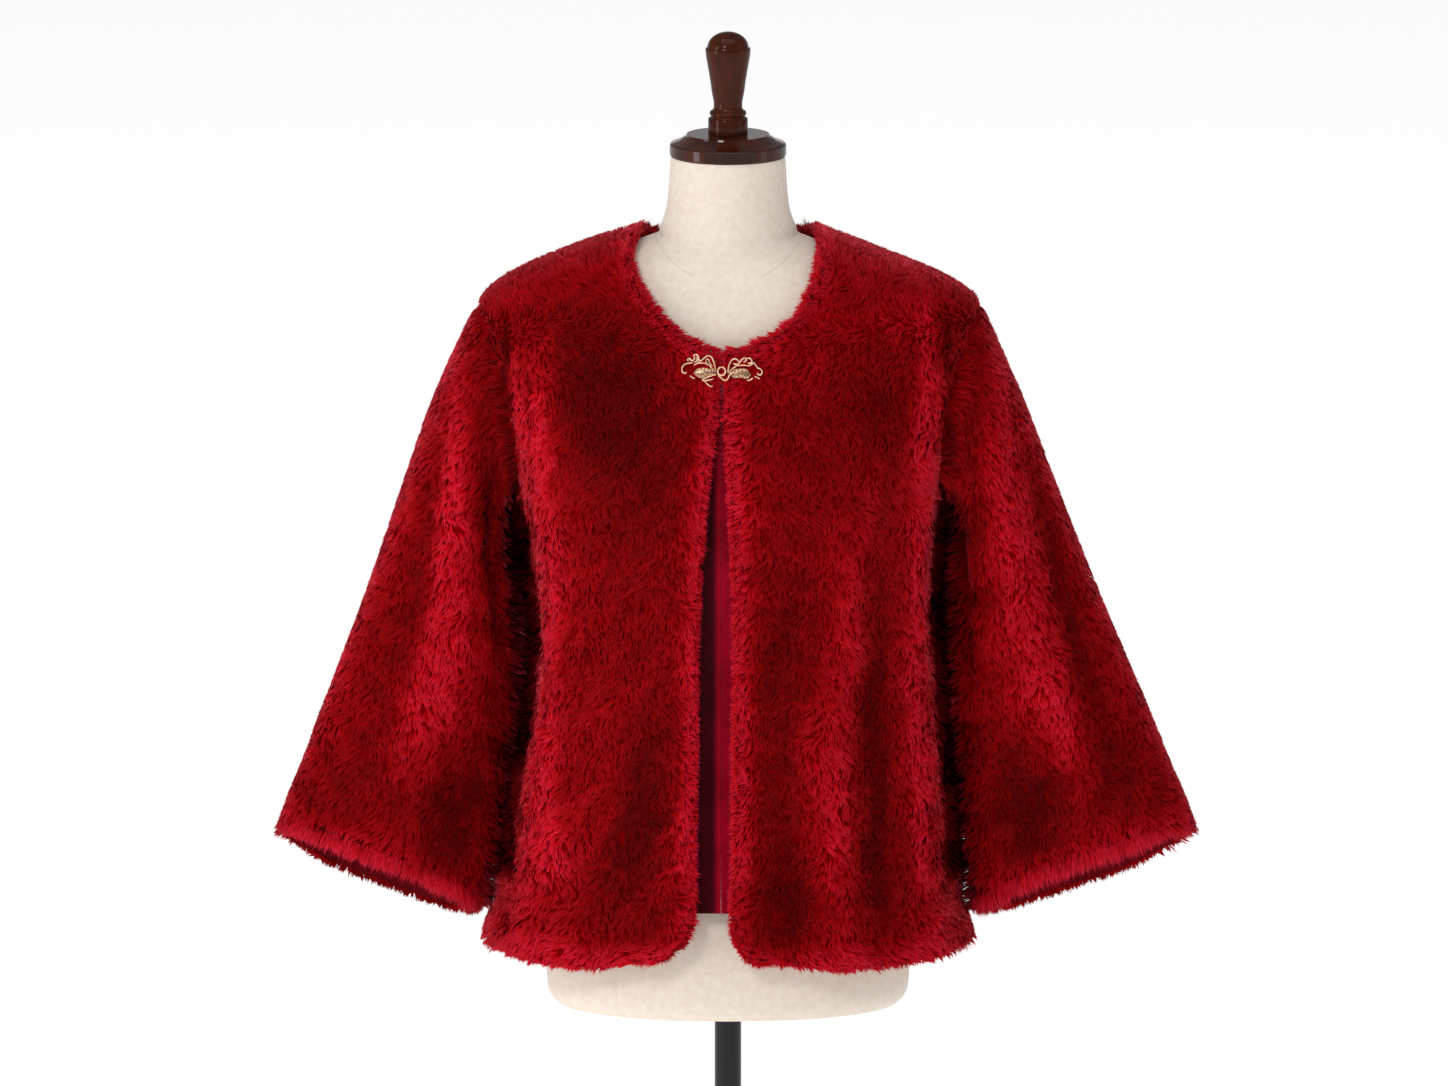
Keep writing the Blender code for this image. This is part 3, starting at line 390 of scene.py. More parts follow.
BACK_FOLDS = (
    (15.0, ((0.78, -0.198, 0.0), (0.88, -0.184, 0.003), (0.94, -0.173, 0.007), (1.01, -0.165, 0.015),
            (1.06, -0.172, 0.01), (1.11, -0.182, 0.004), (1.15, -0.19, 0.0))),
    (15.0, ((0.78, 0.202, 0.0), (0.9, 0.192, 0.003), (0.97, 0.184, 0.007), (1.04, 0.181, 0.012), (1.1, 0.184, 0.008),
            (1.15, 0.192, 0.0))),
    (9.0, ((0.705, -0.158, 0.007), (0.84, -0.15, 0.006), (0.98, -0.137, 0.003), (1.12, -0.14, 0.0))),
    (7.0, ((0.705, -0.092, -0.006), (0.86, -0.083, -0.004), (1.01, -0.078, 0.0))),
    (8.0, ((0.705, -0.036, 0.006), (0.9, -0.03, 0.005), (1.06, -0.028, 0.002), (1.2, -0.03, 0.0))),
    (7.0, ((0.705, 0.031, -0.005), (0.82, 0.034, -0.004), (0.95, 0.036, 0.0))),
    (9.0, ((0.705, 0.085, 0.007), (0.85, 0.088, 0.006), (1.03, 0.08, 0.003), (1.16, 0.082, 0.0))),
    (8.0, ((0.705, 0.16, -0.004), (0.88, 0.15, -0.004), (1.02, 0.145, 0.0))),
)

# %% [markdown]
# Each sleeve is a bell of rounded rings between an outer and an inner outline,
# which are measured from the photograph.
# %%
# Sleeve outline seen from the front: height, right reach, left reach
SLEEVE_OUTER = (
    (0.8, 0.421, 0.436), (0.831, 0.4185, 0.4343), (0.862, 0.4055, 0.421), (0.922, 0.3832, 0.397),
    (1.043, 0.3376, 0.346), (1.164, 0.2967, 0.2985), (1.225, 0.2753, 0.2753), (1.277, 0.253, 0.253),
    (1.322, 0.235, 0.236),
)
SLEEVE_INNER = (
    (0.735, 0.23, 0.228), (0.755, 0.2245, 0.224), (0.801, 0.212, 0.218), (0.831, 0.2085, 0.2167),
    (0.892, 0.202, 0.2125), (0.945, 0.195, 0.207), (1.013, 0.2, 0.2093), (1.073, 0.2037, 0.2083),
    (1.141, 0.2125, 0.2145),
)

# Sleeve rings: way down, outer height, inner height, half depth, front edge lift
SLEEVE_STATIONS = (
    (0.0, 1.316, 1.141, 0.061, 0.0), (0.12, 1.27, 1.1, 0.067, 0.0), (0.3, 1.185, 1.03, 0.066, 0.001),
    (0.5, 1.09, 0.95, 0.062, 0.003), (0.7, 0.99, 0.875, 0.059, 0.007), (0.85, 0.904, 0.804, 0.057, 0.014),
    (1.0, 0.821, 0.746, 0.055, 0.023),
)
UNDERARM_LEAN = 50.0
UNDERARM_LEAN_RISE = 0.06
SLEEVE_ROWS = (0.0, 0.035, 0.07, 0.12, 0.19, 0.27, 0.36, 0.45, 0.54, 0.63, 0.72, 0.81, 0.89, 0.95, 1.0)

# Folds of the sleeves: width in degrees, then way down, angle around from the outer edge, relief
SLEEVE_FOLDS = {
    "right": (
        (24.0, ((0.08, 207.0, 0.0), (0.24, 207.0, 0.012), (0.34, 206.0, 0.02), (0.45, 206.0, 0.018),
                (0.58, 206.0, 0.012), (0.78, 206.0, 0.005), (1.0, 206.0, 0.002))),
        (15.0, ((0.04, 60.0, 0.0), (0.22, 78.0, 0.007), (0.5, 91.0, 0.007), (0.88, 92.0, 0.005), (1.0, 94.0, 0.002))),
        (14.0, ((0.03, 118.0, 0.0), (0.12, 122.0, -0.006), (0.4, 138.0, -0.005), (0.7, 138.0, -0.002))),
        (16.0, ((0.1, 48.0, 0.0), (0.35, 62.0, -0.005), (0.65, 64.0, -0.003), (0.9, 60.0, 0.0))),
        (20.0, ((0.66, 124.0, 0.0), (0.88, 124.0, -0.006), (1.0, 122.0, -0.003))),
        (18.0, ((0.15, 255.0, 0.0), (0.5, 262.0, 0.006), (1.0, 268.0, 0.007))),
        (16.0, ((0.3, 300.0, 0.0), (0.7, 298.0, -0.005), (1.0, 302.0, -0.004))),
    ),
    "left": (
        (24.0, ((0.06, 207.0, 0.0), (0.2, 207.0, 0.011), (0.35, 206.0, 0.014), (0.5, 206.0, 0.009),
                (0.75, 206.0, 0.004), (1.0, 206.0, 0.001))),
        (15.0, ((0.04, 66.0, 0.0), (0.2, 80.0, 0.007), (0.45, 84.0, 0.007), (0.85, 84.0, 0.006), (1.0, 88.0, 0.002))),
        (14.0, ((0.03, 140.0, 0.0), (0.14, 144.0, -0.006), (0.36, 138.0, -0.005), (0.66, 140.0, -0.002))),
        (15.0, ((0.12, 36.0, 0.0), (0.36, 44.0, -0.005), (0.75, 62.0, -0.006), (0.95, 66.0, 0.0))),
        (22.0, ((0.66, 108.0, 0.0), (0.88, 106.0, -0.006), (1.0, 110.0, -0.003))),
        (18.0, ((0.2, 246.0, 0.0), (0.55, 255.0, 0.007), (1.0, 262.0, 0.006))),
        (16.0, ((0.4, 292.0, 0.0), (0.75, 296.0, -0.006), (1.0, 300.0, -0.004))),
    ),
}

# %% [markdown]
# The form is a stack of rings too. Its shoulders follow the inside of the jacket.
# %%
# Form below the jacket's shoulders: height, half width, front depth, back depth
FORM_RINGS = (
    (0.658, 0.16, 0.111, 0.112), (0.665, 0.166, 0.115, 0.116), (0.68, 0.169, 0.117, 0.119),
    (0.72, 0.1685, 0.1165, 0.12), (0.79, 0.16, 0.111, 0.116), (0.88, 0.142, 0.101, 0.1), (0.96, 0.13, 0.096, 0.089),
    (1.02, 0.133, 0.1, 0.088), (1.09, 0.149, 0.115, 0.096), (1.15, 0.164, 0.126, 0.104), (1.2, 0.173, 0.125, 0.108),
    (1.25, 0.183, 0.114, 0.105),
)
ARM_END_INSET = 0.10
ARM_END_HEIGHTS = (1.29, 1.35)
FORM_SHOULDER_LEVELS = (1.296, 1.315, 1.330, 1.343, 1.356, 1.366, 1.374)
FORM_NECK = ((1.3785, 0.0700), (1.3880, 0.0635), (1.3990, 0.0590), (1.4100, 0.0565),
             (1.4260, 0.0548), (1.4520, 0.0532), (NECK_TOP, 0.0515))
FOLD_LEAD = 0.05

# %% Surfaces of the jacket
# %% [markdown]
# A point on the jacket is given by an angle around it and a height. Smooth curves through the tables
# give the ring at that height, and the folds push the point in or out.
# %%


def smooth_step(value, start, end):
    """Rise from 0 at start to 1 at end with level ends."""
    part = np.clip((value - start) / (end - start), 0.0, 1.0)
    return part * part * (3.0 - 2.0 * part)


def along(table, key, column):
    """Smooth curve through a table whose first column rises or falls steadily."""
    rows = sorted(table)
    keys = np.array([row[0] for row in rows])
    values = np.array([row[column] for row in rows])
    slopes = np.gradient(values, keys)
    key = np.clip(key, keys[0], keys[-1])
    cell = np.clip(np.searchsorted(keys, key, side="right") - 1, 0, len(keys) - 2)
    width = keys[cell + 1] - keys[cell]
    part = (key - keys[cell]) / width
    start = (1.0 + 2.0 * part) * (1.0 - part) ** 2 * values[cell]
    end = part ** 2 * (3.0 - 2.0 * part) * values[cell + 1]
    lean = part * (1.0 - part) * width * ((1.0 - part) * slopes[cell] - part * slopes[cell + 1])
    return start + end + lean


def signed_power(value, power):
    """Power that keeps the sign."""
    return np.sign(value) * np.abs(value) ** power


def unit(vectors):
    """Vectors of length one."""
    return vectors / (np.linalg.norm(vectors, axis=-1, keepdims=True) + 1e-12)


def ring_point(angle, right, left, front, back):
    """Point on a rounded ring, with the angle counted from the front middle toward the left side."""
    across = signed_power(np.sin(angle), 2.0 / ROUNDNESS)
    ahead = signed_power(np.cos(angle), 2.0 / ROUNDNESS)
    x = across * np.where(across >= 0.0, left, right)
    y = -ahead * np.where(ahead >= 0.0, front, back)
    return x, y


def coat_base(angle, height):
    """Jacket surface without folds."""
    x, y = ring_point(angle, *(along(COAT_RINGS, height, column) for column in (1, 2, 3, 4)))
    return np.stack([x, y, height + 0.0 * x], axis=-1)


def angle_at(across, height):
    """Angle on the front half of the ring at a distance across."""
    half = np.where(across >= 0.0, along(COAT_RINGS, height, 2), along(COAT_RINGS, height, 1))
    return np.arcsin(signed_power(np.clip(across / half, -1.0, 1.0), ROUNDNESS / 2.0))


# %% [markdown]
# The folds are laid over the smooth jacket along its outward direction.
# The wall of pile goes inward from there and is thicker at the hem.
# %%


def fold_relief(angle, height):
    """Height of the folds over the smooth jacket."""
    total = 0.0 * angle * height
    for folds, behind in ((BODY_FOLDS, False), (BACK_FOLDS, True)):
        for width, line in folds:
            middle = angle_at(along(line, height, 1), height)
            if behind:
                middle = math.pi - middle
            apart = np.angle(np.exp(1j * (angle - middle)))
            inside = (height >= line[0][0] - FOLD_LEAD) & (height <= line[-1][0])
            relief = np.where(inside, along(line, height, 2), 0.0)
            total = total + relief * np.exp(-(apart / math.radians(width)) ** 2)
    return total


def surface_normal(surface, angle, height):
    """Outward direction of a surface given by angle and height."""
    step = 1e-4
    around = surface(angle + step, height) - surface(angle - step, height)
    upward = surface(angle, height + step) - surface(angle, height - step)
    return unit(np.cross(around, upward))


def coat_surface(angle, height):
    """Jacket surface with its folds."""
    lift = fold_relief(angle, height)
    return coat_base(angle, height) + surface_normal(coat_base, angle, height) * lift[..., None]


def coat_wall(angle, height):
    """Outer point and the way through the wall at each place of the jacket."""
    angle = np.asarray(angle, dtype=float)
    height = np.asarray(height, dtype=float)
    thickness = HEM_WALL + (FUR_WALL - HEM_WALL) * smooth_step(height, HEM_HEIGHT, HEM_HEIGHT + 0.06)
    outer = coat_surface(angle, height)
    return outer, -surface_normal(coat_surface, angle, height) * thickness[..., None]


# %% [markdown]
# A panel is a grid between its edges: the hem, the front edge or the middle of the back,
# the neck, the shoulder and the armhole.
# %%


def armhole_line(count, side, behind):
    """Angles and heights along half an armhole, from the underarm to the shoulder tip."""
    steps = np.linspace(0.0, 1.0, count + 1)
    table = [(key, *point) for key, point in zip(np.linspace(0.0, 1.0, len(ARMHOLE)), ARMHOLE)]
    heights = along(table, steps, 1)
    angles = np.radians(along(table, steps, 2))
    if behind:
        angles = math.pi - angles
    return side * angles, heights


def neck_line(count, side, behind, corner):
    """Angles and heights along the neck edge, from its lowest point to the shoulder."""
    points = [corner] + list(BACK_NECK if behind else FRONT_NECK) + [(NECK_SIDE_HEIGHT, 0.0)]
    heights = np.array([p[0] for p in points])
    across = np.array([p[1] for p in points])
    across[-1] = along(COAT_RINGS, NECK_SIDE_HEIGHT, 2)
    reach = np.cumsum(np.hypot(np.diff(heights, prepend=heights[0]), np.diff(across, prepend=across[0])))
    reach[-1] += SHOULDER_TURN
    steps = np.linspace(0.0, reach[-1], count + 1)
    height = np.interp(steps, reach, heights)
    angle = angle_at(np.interp(steps, reach, across), height)
    angle[-1] = math.pi / 2.0
    if behind:
        angle = math.pi - angle
    return side * angle, height


def half_panel(side, behind):
    """Grid of angles and heights from the middle edge (first column) to the side."""
    climb = np.linspace(0.0, 1.0, LOWER_ROWS + 1) ** 1.3
    low = HEM_HEIGHT + (UNDERARM_HEIGHT - HEM_HEIGHT) * climb
    low_side = low + SIDE_HEM_LIFT * (1.0 - climb)
    if behind:
        middle_rows = UPPER_ROWS - BACK_NECK_ROWS
        corner = (BACK_NECK_HEIGHT, 0.0)
        mid_heights = np.linspace(UNDERARM_HEIGHT, BACK_NECK_HEIGHT, middle_rows + 1)
        edge_heights = np.concatenate([low, mid_heights[1:]])
        edge_angles = np.full(len(edge_heights), side * math.pi)
    else:
        middle_rows = FRONT_EDGE_ROWS
        column = 2 if side > 0 else 1
        corner = (FRONT_NECK_HEIGHT, side * along(FRONT_EDGES, FRONT_NECK_HEIGHT, column))
        mid_heights = np.linspace(UNDERARM_HEIGHT, FRONT_NECK_HEIGHT, middle_rows + 1)
        edge_heights = np.concatenate([low, mid_heights[1:]])
        edge_angles = angle_at(along(FRONT_EDGES, edge_heights, column), edge_heights)
    neck_angles, neck_heights = neck_line(UPPER_ROWS - middle_rows, side, behind, corner)
    edge_angles = np.concatenate([edge_angles, neck_angles[1:]])
    edge_heights = np.concatenate([edge_heights, neck_heights[1:]])
    arm_angles, arm_heights = armhole_line(UPPER_ROWS, side, behind)
    side_angles = np.concatenate([np.full(LOWER_ROWS + 1, side * math.pi / 2.0), arm_angles[1:]])
    side_heights = np.concatenate([low_side, arm_heights[1:]])
    part = np.linspace(0.0, 1.0, FRONT_COLUMNS + 1)[None, :]
    angles = edge_angles[:, None] * (1.0 - part) + side_angles[:, None] * part
    heights = edge_heights[:, None] * (1.0 - part) + side_heights[:, None] * part
    if not behind:
        rise = CORNER_RISE * (1.0 - smooth_step(part, 0.0, CORNER_SHARE))
        heights = heights + rise * (1.0 - smooth_step(heights, HEM_HEIGHT, HEM_HEIGHT + CORNER_FADE))
    return angles, heights


def armhole_edge(side, behind, count):
    """Outer points, ways through the wall and outward ways along half an armhole."""
    angles, heights = armhole_line(count, side, behind)
    outer, through = coat_wall(angles, heights)
    length = np.linalg.norm(through, axis=-1, keepdims=True)
    tangent = np.gradient(outer, axis=0)
    tangent[0] = (0.0, tangent[1][1], 0.0)
    tangent[-1] = (0.0, tangent[-2][1], 0.0)
    away = unit(np.cross(tangent, -through))
    if away[-1][0] * side < 0.0:
        away = -away
    lean = math.radians(UNDERARM_LEAN) * (
        1.0 - smooth_step(heights, UNDERARM_HEIGHT, UNDERARM_HEIGHT + UNDERARM_LEAN_RISE))[:, None]
    through = through * np.cos(lean) + away * length * np.sin(lean)
    return outer, through, away


# %% [markdown]
# Light and shade are painted into the pile's tone on the front, in spots and along lines: painted shade in broad
# patches and in the gaps beside the sleeves, and painted light along ridges and in spots such as the shoulders and
# the hem.
# %%
# Spots of painted light and shade: across, height, half width, half height, tone
PAINTED_LIGHT_SPOTS = (
    (-0.119, 1.258, 0.058, 0.085, -0.38), (-0.066, 1.195, 0.05, 0.06, -0.24), (0.113, 1.249, 0.05, 0.065, -0.08),
    (0.05, 1.225, 0.04, 0.04, -0.14), (-0.078, 0.84, 0.022, 0.09, -0.3), (0.06, 0.776, 0.045, 0.035, -0.36),
    (0.14, 0.9, 0.01, 0.13, -0.3), (-0.3, 0.868, 0.095, 0.048, -0.36), (0.17, 0.8, 0.07, 0.06, -0.1),
    (0.31, 0.868, 0.095, 0.048, -0.32), (-0.226, 1.21, 0.014, 0.09, -0.26), (0.23, 1.21, 0.014, 0.09, -0.28),
    (-0.125, 0.722, 0.06, 0.016, 0.35), (-0.165, 0.81, 0.03, 0.06, 0.22), (-0.14, 1.36, 0.07, 0.03, 0.04),
    (0.15, 1.352, 0.075, 0.038, 0.14), (-0.1, 1.06, 0.055, 0.1, -0.15), (0.085, 1.06, 0.06, 0.11, -0.13),
    (0.0, 1.295, 0.035, 0.014, 0.35),
)
# Lines of painted light and shade: half width, tone, then height and across of its points
PAINTED_LIGHT_LINES = (
    (0.004, -0.6, ((1.334, -0.212), (1.249, -0.2055), (1.178, -0.1981), (1.097, -0.1925))),
    (0.006, 0.3, ((1.31, -0.202), (1.296, -0.2009), (1.183, -0.1897), (1.116, -0.182))),
    (0.0022, -0.55, ((1.29, -0.1865), (1.277, -0.186), (1.116, -0.1814), (1.09, -0.1814))),
    (0.01, 0.38,
     ((1.31, -0.18), (1.296, -0.1776), (1.154, -0.1739), (1.022, -0.1685), (0.87, -0.1665), (0.776, -0.16))),
    (0.009, 0.36, ((1.343, 0.186), (1.154, 0.1804), (0.965, 0.1748), (0.823, 0.1804), (0.76, 0.183))),
    (0.004, -0.55, ((1.34, 0.2083), (1.268, 0.2055), (1.154, 0.2018))),
    (0.009, 0.14, ((1.2, 0.134), (1.173, 0.132), (0.823, 0.096), (0.79, 0.095))),
    (0.007, 0.3, ((1.27, 0.008), (1.133, 0.012), (0.932, 0.0155), (0.776, 0.013))),
    (0.007, 0.2, ((1.27, -0.018), (1.133, -0.033), (0.932, -0.04), (0.776, -0.041))),
    (0.011, 0.24, ((1.3, -0.2446), (1.154, -0.2585), (1.022, -0.2753), (0.908, -0.3004), (0.87, -0.308))),
    (0.011, 0.24, ((1.29, 0.24), (1.201, 0.2623), (1.06, 0.2902), (0.889, 0.3274), (0.86, 0.335))),
)
RIDGE_RELIEF = 0.006
RIDGE_PAINTED_LIGHT = 0.40


def painted_light_tone(points):
    """Painted light and shade, as a change of the pile's tone, on the front."""
    tone = np.zeros(points.shape[:-1])
    for x, z, half_width, half_height, change in PAINTED_LIGHT_SPOTS:
        apart = ((points[..., 0] - x) / half_width) ** 2 + ((points[..., 2] - z) / half_height) ** 2
        tone = tone + change * np.exp(-apart)
    for half_width, change, line in PAINTED_LIGHT_LINES:
        heights, across = np.array(line[::-1]).T
        apart = (points[..., 0] - np.interp(points[..., 2], heights, across)) / half_width
        ends = (smooth_step(points[..., 2], heights[0], heights[0] + 0.04)
                * smooth_step(-points[..., 2], -heights[-1], -heights[-1] + 0.04))
        tone = tone + change * np.exp(-apart ** 2) * ends
    return tone * (points[..., 1] < 0.0)


def painted_fold_tone(relief):
    """Painted light on a fold's ridge and painted shade in its hollow, as a change of the pile's tone."""
    return (relief / RIDGE_RELIEF * RIDGE_PAINTED_LIGHT)[..., None]


def panel_grid(side, behind):
    """Outer points of half a panel, the ways through its wall and the painted light and shade of its folds."""
    angles, heights = half_panel(side, behind)
    outer, through = coat_wall(angles, heights)
    tone = painted_fold_tone(fold_relief(angles, heights))
    arm_outer, arm_through, arm_away = armhole_edge(side, behind, UPPER_ROWS)
    outer[LOWER_ROWS:, -1] = arm_outer - arm_away * SEAM_GAP / 2.0
    through[LOWER_ROWS:, -1] = arm_through
    back_off = SEAM_GAP / 2.0 * (1.0 if behind else -1.0)
    outer[:LOWER_ROWS + 1, -1, 1] += back_off
    outer[-1, :, 1] += back_off
    return outer, through, tone


# %% [markdown]
# A sleeve starts as the loop of its armhole and turns into a bell within the first sixth
# of its length.
# %%


def sleeve_relief(side_name, way, turn):
    """Height of a sleeve's folds at a way down and an angle around in degrees."""
    total = 0.0 * way * turn
    for width, line in SLEEVE_FOLDS[side_name]:
        apart = (turn - along(line, way, 1) + 180.0) % 360.0 - 180.0
        inside = (way >= line[0][0]) & (way <= line[-1][0])
        total = total + np.where(inside, along(line, way, 2), 0.0) * np.exp(-(apart / width) ** 2)
    return total


def sleeve_tube(side, way, turn):
    """Smooth bell of the sleeve, and the centre of its ring, before it meets the armhole."""
    column = 2 if side > 0 else 1
    outer_height = along(SLEEVE_STATIONS, way, 1)
    inner_height = along(SLEEVE_STATIONS, way, 2)
    outer = np.stack([side * along(SLEEVE_OUTER, outer_height, column), 0.0 * way, outer_height], axis=-1)
    inner = np.stack([side * along(SLEEVE_INNER, inner_height, column), 0.0 * way, inner_height], axis=-1)
    centre = (outer + inner) / 2.0
    reach = (outer - inner) / 2.0
    angle = np.radians(turn)
    outward = signed_power(np.cos(angle), 2.0 / ROUNDNESS)
    ahead = signed_power(np.sin(angle), 2.0 / ROUNDNESS)
    point = centre + reach * outward[..., None]
    point[..., 1] -= along(SLEEVE_STATIONS, way, 3) * ahead
    point[..., 2] += along(SLEEVE_STATIONS, way, 4) * ahead
    return point, centre


def sleeve_grid(side_name, side):
    """Outer points of a sleeve, ring by ring from the armhole, its ways through and the painted light and shade of
    its folds.
    """
    half = SLEEVE_COLUMNS // 2
    front = armhole_edge(side, False, half)
    back = armhole_edge(side, True, half)
    loop_points, loop_through, loop_away = [np.concatenate([a[::-1], b[1:-1]]) for a, b in zip(front, back)]
    loop_points = loop_points + loop_away * SEAM_GAP / 2.0
    rows = np.array(SLEEVE_ROWS)[:, None]
    turns = np.linspace(0.0, 360.0, SLEEVE_COLUMNS, endpoint=False)[None, :]
    way = rows + 0.0 * turns
    turn = turns + 0.0 * rows
    tube, centre = sleeve_tube(side, way, turn)
    mixed = smooth_step(way, -0.04, 0.17)
    mixed = (mixed - mixed[0]) / (1.0 - mixed[0])
    base = loop_points[None] * (1.0 - mixed[..., None]) + tube * mixed[..., None]
    around = np.roll(base, -1, axis=1) - np.roll(base, 1, axis=1)
    normal = unit(np.cross(around, np.gradient(base, axis=0)))
    facing = np.sum(normal * (base - centre), axis=-1, keepdims=True)
    normal = normal * np.sign(np.mean(facing[4:]))
    points = base + normal * sleeve_relief(side_name, way, turn)[..., None]
    thickness = FUR_WALL + (HEM_WALL - FUR_WALL) * smooth_step(way, 0.88, 1.0)
    lean = (1.0 - smooth_step(way, 0.0, 0.06))[..., None]
    first = unit(loop_through)[None]
    bend = lean * (1.0 - lean) * (1.0 + np.sum(first * normal, axis=-1, keepdims=True))
    through = unit(first * lean - normal * (1.0 - lean) + loop_away[None] * bend) * thickness[..., None]
    through[0] = loop_through
    return points, through, painted_fold_tone(sleeve_relief(side_name, way, turn))


# %% [markdown]
# A patch is a smooth sheet through such a grid. It can be asked for a point anywhere on it,
# for the way through the wall there, and for the two directions along the cloth.
# %%


def extended(values):
    """Rows with one more at each end, which carries on from the last two."""
    return np.concatenate([2.0 * values[:1] - values[1:2], values, 2.0 * values[-1:] - values[-2:-1]])


def cubic(part):
    """Weights of four neighbours for a smooth curve through the middle two."""
    return (0.5 * (-part + 2.0 * part ** 2 - part ** 3), 0.5 * (2.0 - 5.0 * part ** 2 + 3.0 * part ** 3),
            0.5 * (part + 4.0 * part ** 2 - 3.0 * part ** 3), 0.5 * (part ** 3 - part ** 2))


class Patch:
    """Smooth sheet through a grid of outer points, ways through the wall and any further values."""

    def __init__(self, *layers, closed=False):
        grid = np.concatenate(layers, axis=-1)
        self.rows, self.columns = grid.shape[0] - 1, grid.shape[1] - (0 if closed else 1)
        self.closed = closed
        self.behind = not closed and grid[0, 0, 1] > 0.0
        if closed:
            grid = np.concatenate([grid[:, -1:], grid, grid[:, :2]], axis=1)
        else:
            grid = extended(grid.swapaxes(0, 1)).swapaxes(0, 1)
        self.grid = extended(grid)

    def values(self, row, column):
        """All the values at places counted in cells."""
        row = np.clip(row, 0.0, self.rows)
        column = column % self.columns if self.closed else np.clip(column, 0.0, self.columns)
        first_row = np.minimum(row.astype(int), self.rows - 1)
        first_column = np.minimum(column.astype(int), self.columns - 1)
        total = 0.0
        weights = [cubic(row - first_row), cubic(column - first_column)]
        for down in range(4):
            for across in range(4):
                share = weights[0][down] * weights[1][across]
                total = total + share[..., None] * self.grid[first_row + down, first_column + across]
        return total

    def at(self, row, column):
        """Outer point and way through."""
        values = self.values(row, column)
        return values[..., :3], values[..., 3:6]

    def frame(self, row, column):
        """Point, way through, outward direction, and the steps of one row and one column."""
        step = 0.02
        point, through = self.at(row, column)
        upward = self.at(row + step, column)[0] - self.at(row - step, column)[0]
        across = self.at(row, column + step)[0] - self.at(row, column - step)[0]
        normal = unit(np.cross(across, upward))
        normal *= np.sign(np.sum(normal * -through, axis=-1, keepdims=True))
        return point, through, normal, upward / (2.0 * step), across / (2.0 * step)

    def rise(self, row, column, shift):
        """How far the sheet rises over its own tangent plane after a shift along that plane."""
        point, _, normal, upward, across = self.frame(row, column)
        uu, cc = np.sum(upward * upward, axis=-1), np.sum(across * across, axis=-1)
        uc = np.sum(upward * across, axis=-1)
        su, sc = np.sum(shift * upward, axis=-1), np.sum(shift * across, axis=-1)
        size = np.maximum(uu * cc - uc * uc, 0.05 * uu * cc)
        moved = self.at(row + (su * cc - sc * uc) / size, column + (sc * uu - su * uc) / size)[0]
        return np.clip(np.sum((moved - point) * normal, axis=-1), -0.006, 0.006)

    def scatter(self, count, rng):
        """Places spread evenly over the sheet."""
        rows, columns = np.meshgrid(np.arange(self.rows), np.arange(self.columns), indexing="ij")
        corners = [self.at(rows + a, columns + b)[0] for a, b in ((0.0, 0.0), (1.0, 0.0), (0.0, 1.0))]
        area = np.linalg.norm(np.cross(corners[1] - corners[0], corners[2] - corners[0]), axis=-1).ravel()
        if self.closed:
            # A sleeve's side toward the body is pressed against it and needs fewer locks
            turn = (columns.ravel() + 0.5) / self.columns * 360.0
            area = area * (1.0 - 0.45 * smooth_step(60.0 - np.abs(turn - 200.0), 0.0, 20.0))
        share = np.floor(np.cumsum(area) / area.sum() * count + 0.5).astype(int)
        cell = np.repeat(np.arange(area.size), np.diff(share, prepend=0))
        # Each step of these two fractions lands in the widest gap left, so places lie evenly apart
        order = np.arange(len(cell))
        along_row = (0.7548776662 * order + rng.normal(0.0, 0.10, len(cell))) % 1.0
        along_column = (0.5698402910 * order + rng.normal(0.0, 0.10, len(cell))) % 1.0
        return rows.ravel()[cell] + along_row, columns.ravel()[cell] + along_column


PATCHES = {
    "jacket_back": [Patch(*panel_grid(1.0, True)), Patch(*panel_grid(-1.0, True))],
    "jacket_front_left": [Patch(*panel_grid(1.0, False))],
    "jacket_front_right": [Patch(*panel_grid(-1.0, False))],
    "sleeve_left": [Patch(*sleeve_grid("left", 1.0), closed=True)],
    "sleeve_right": [Patch(*sleeve_grid("right", -1.0), closed=True)],
}

# %% Skins
# %% [markdown]
# Real fur cloth is a knitted backing with pile on one side and, here, a satin lining on the other.
# Each panel's skin is a thin closed shell at the bottom of the pile: backing outside, satin inside.
# %%
SKIN_DEPTH = 0.32
SKIN_FINE = 2
SHARP_ANGLE = math.radians(40.0)


def to_object(name, mesh, *materials):
    """Turn a bmesh into a smooth-shaded object that rides with the part."""
    bmesh.ops.recalc_face_normals(mesh, faces=mesh.faces)
    data = bpy.data.meshes.new(name)
    mesh.to_mesh(data)
    mesh.free()
    for item in materials:
        data.materials.append(item)
    data.shade_smooth()
    data.set_sharp_from_angle(angle=SHARP_ANGLE)
    made = add_object(name, data)
    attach(made, "root")
    return made


def stand_for(made, solid):
    """Hide the solid that a piece replaces, and give back the piece."""
    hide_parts(solid)
    return made


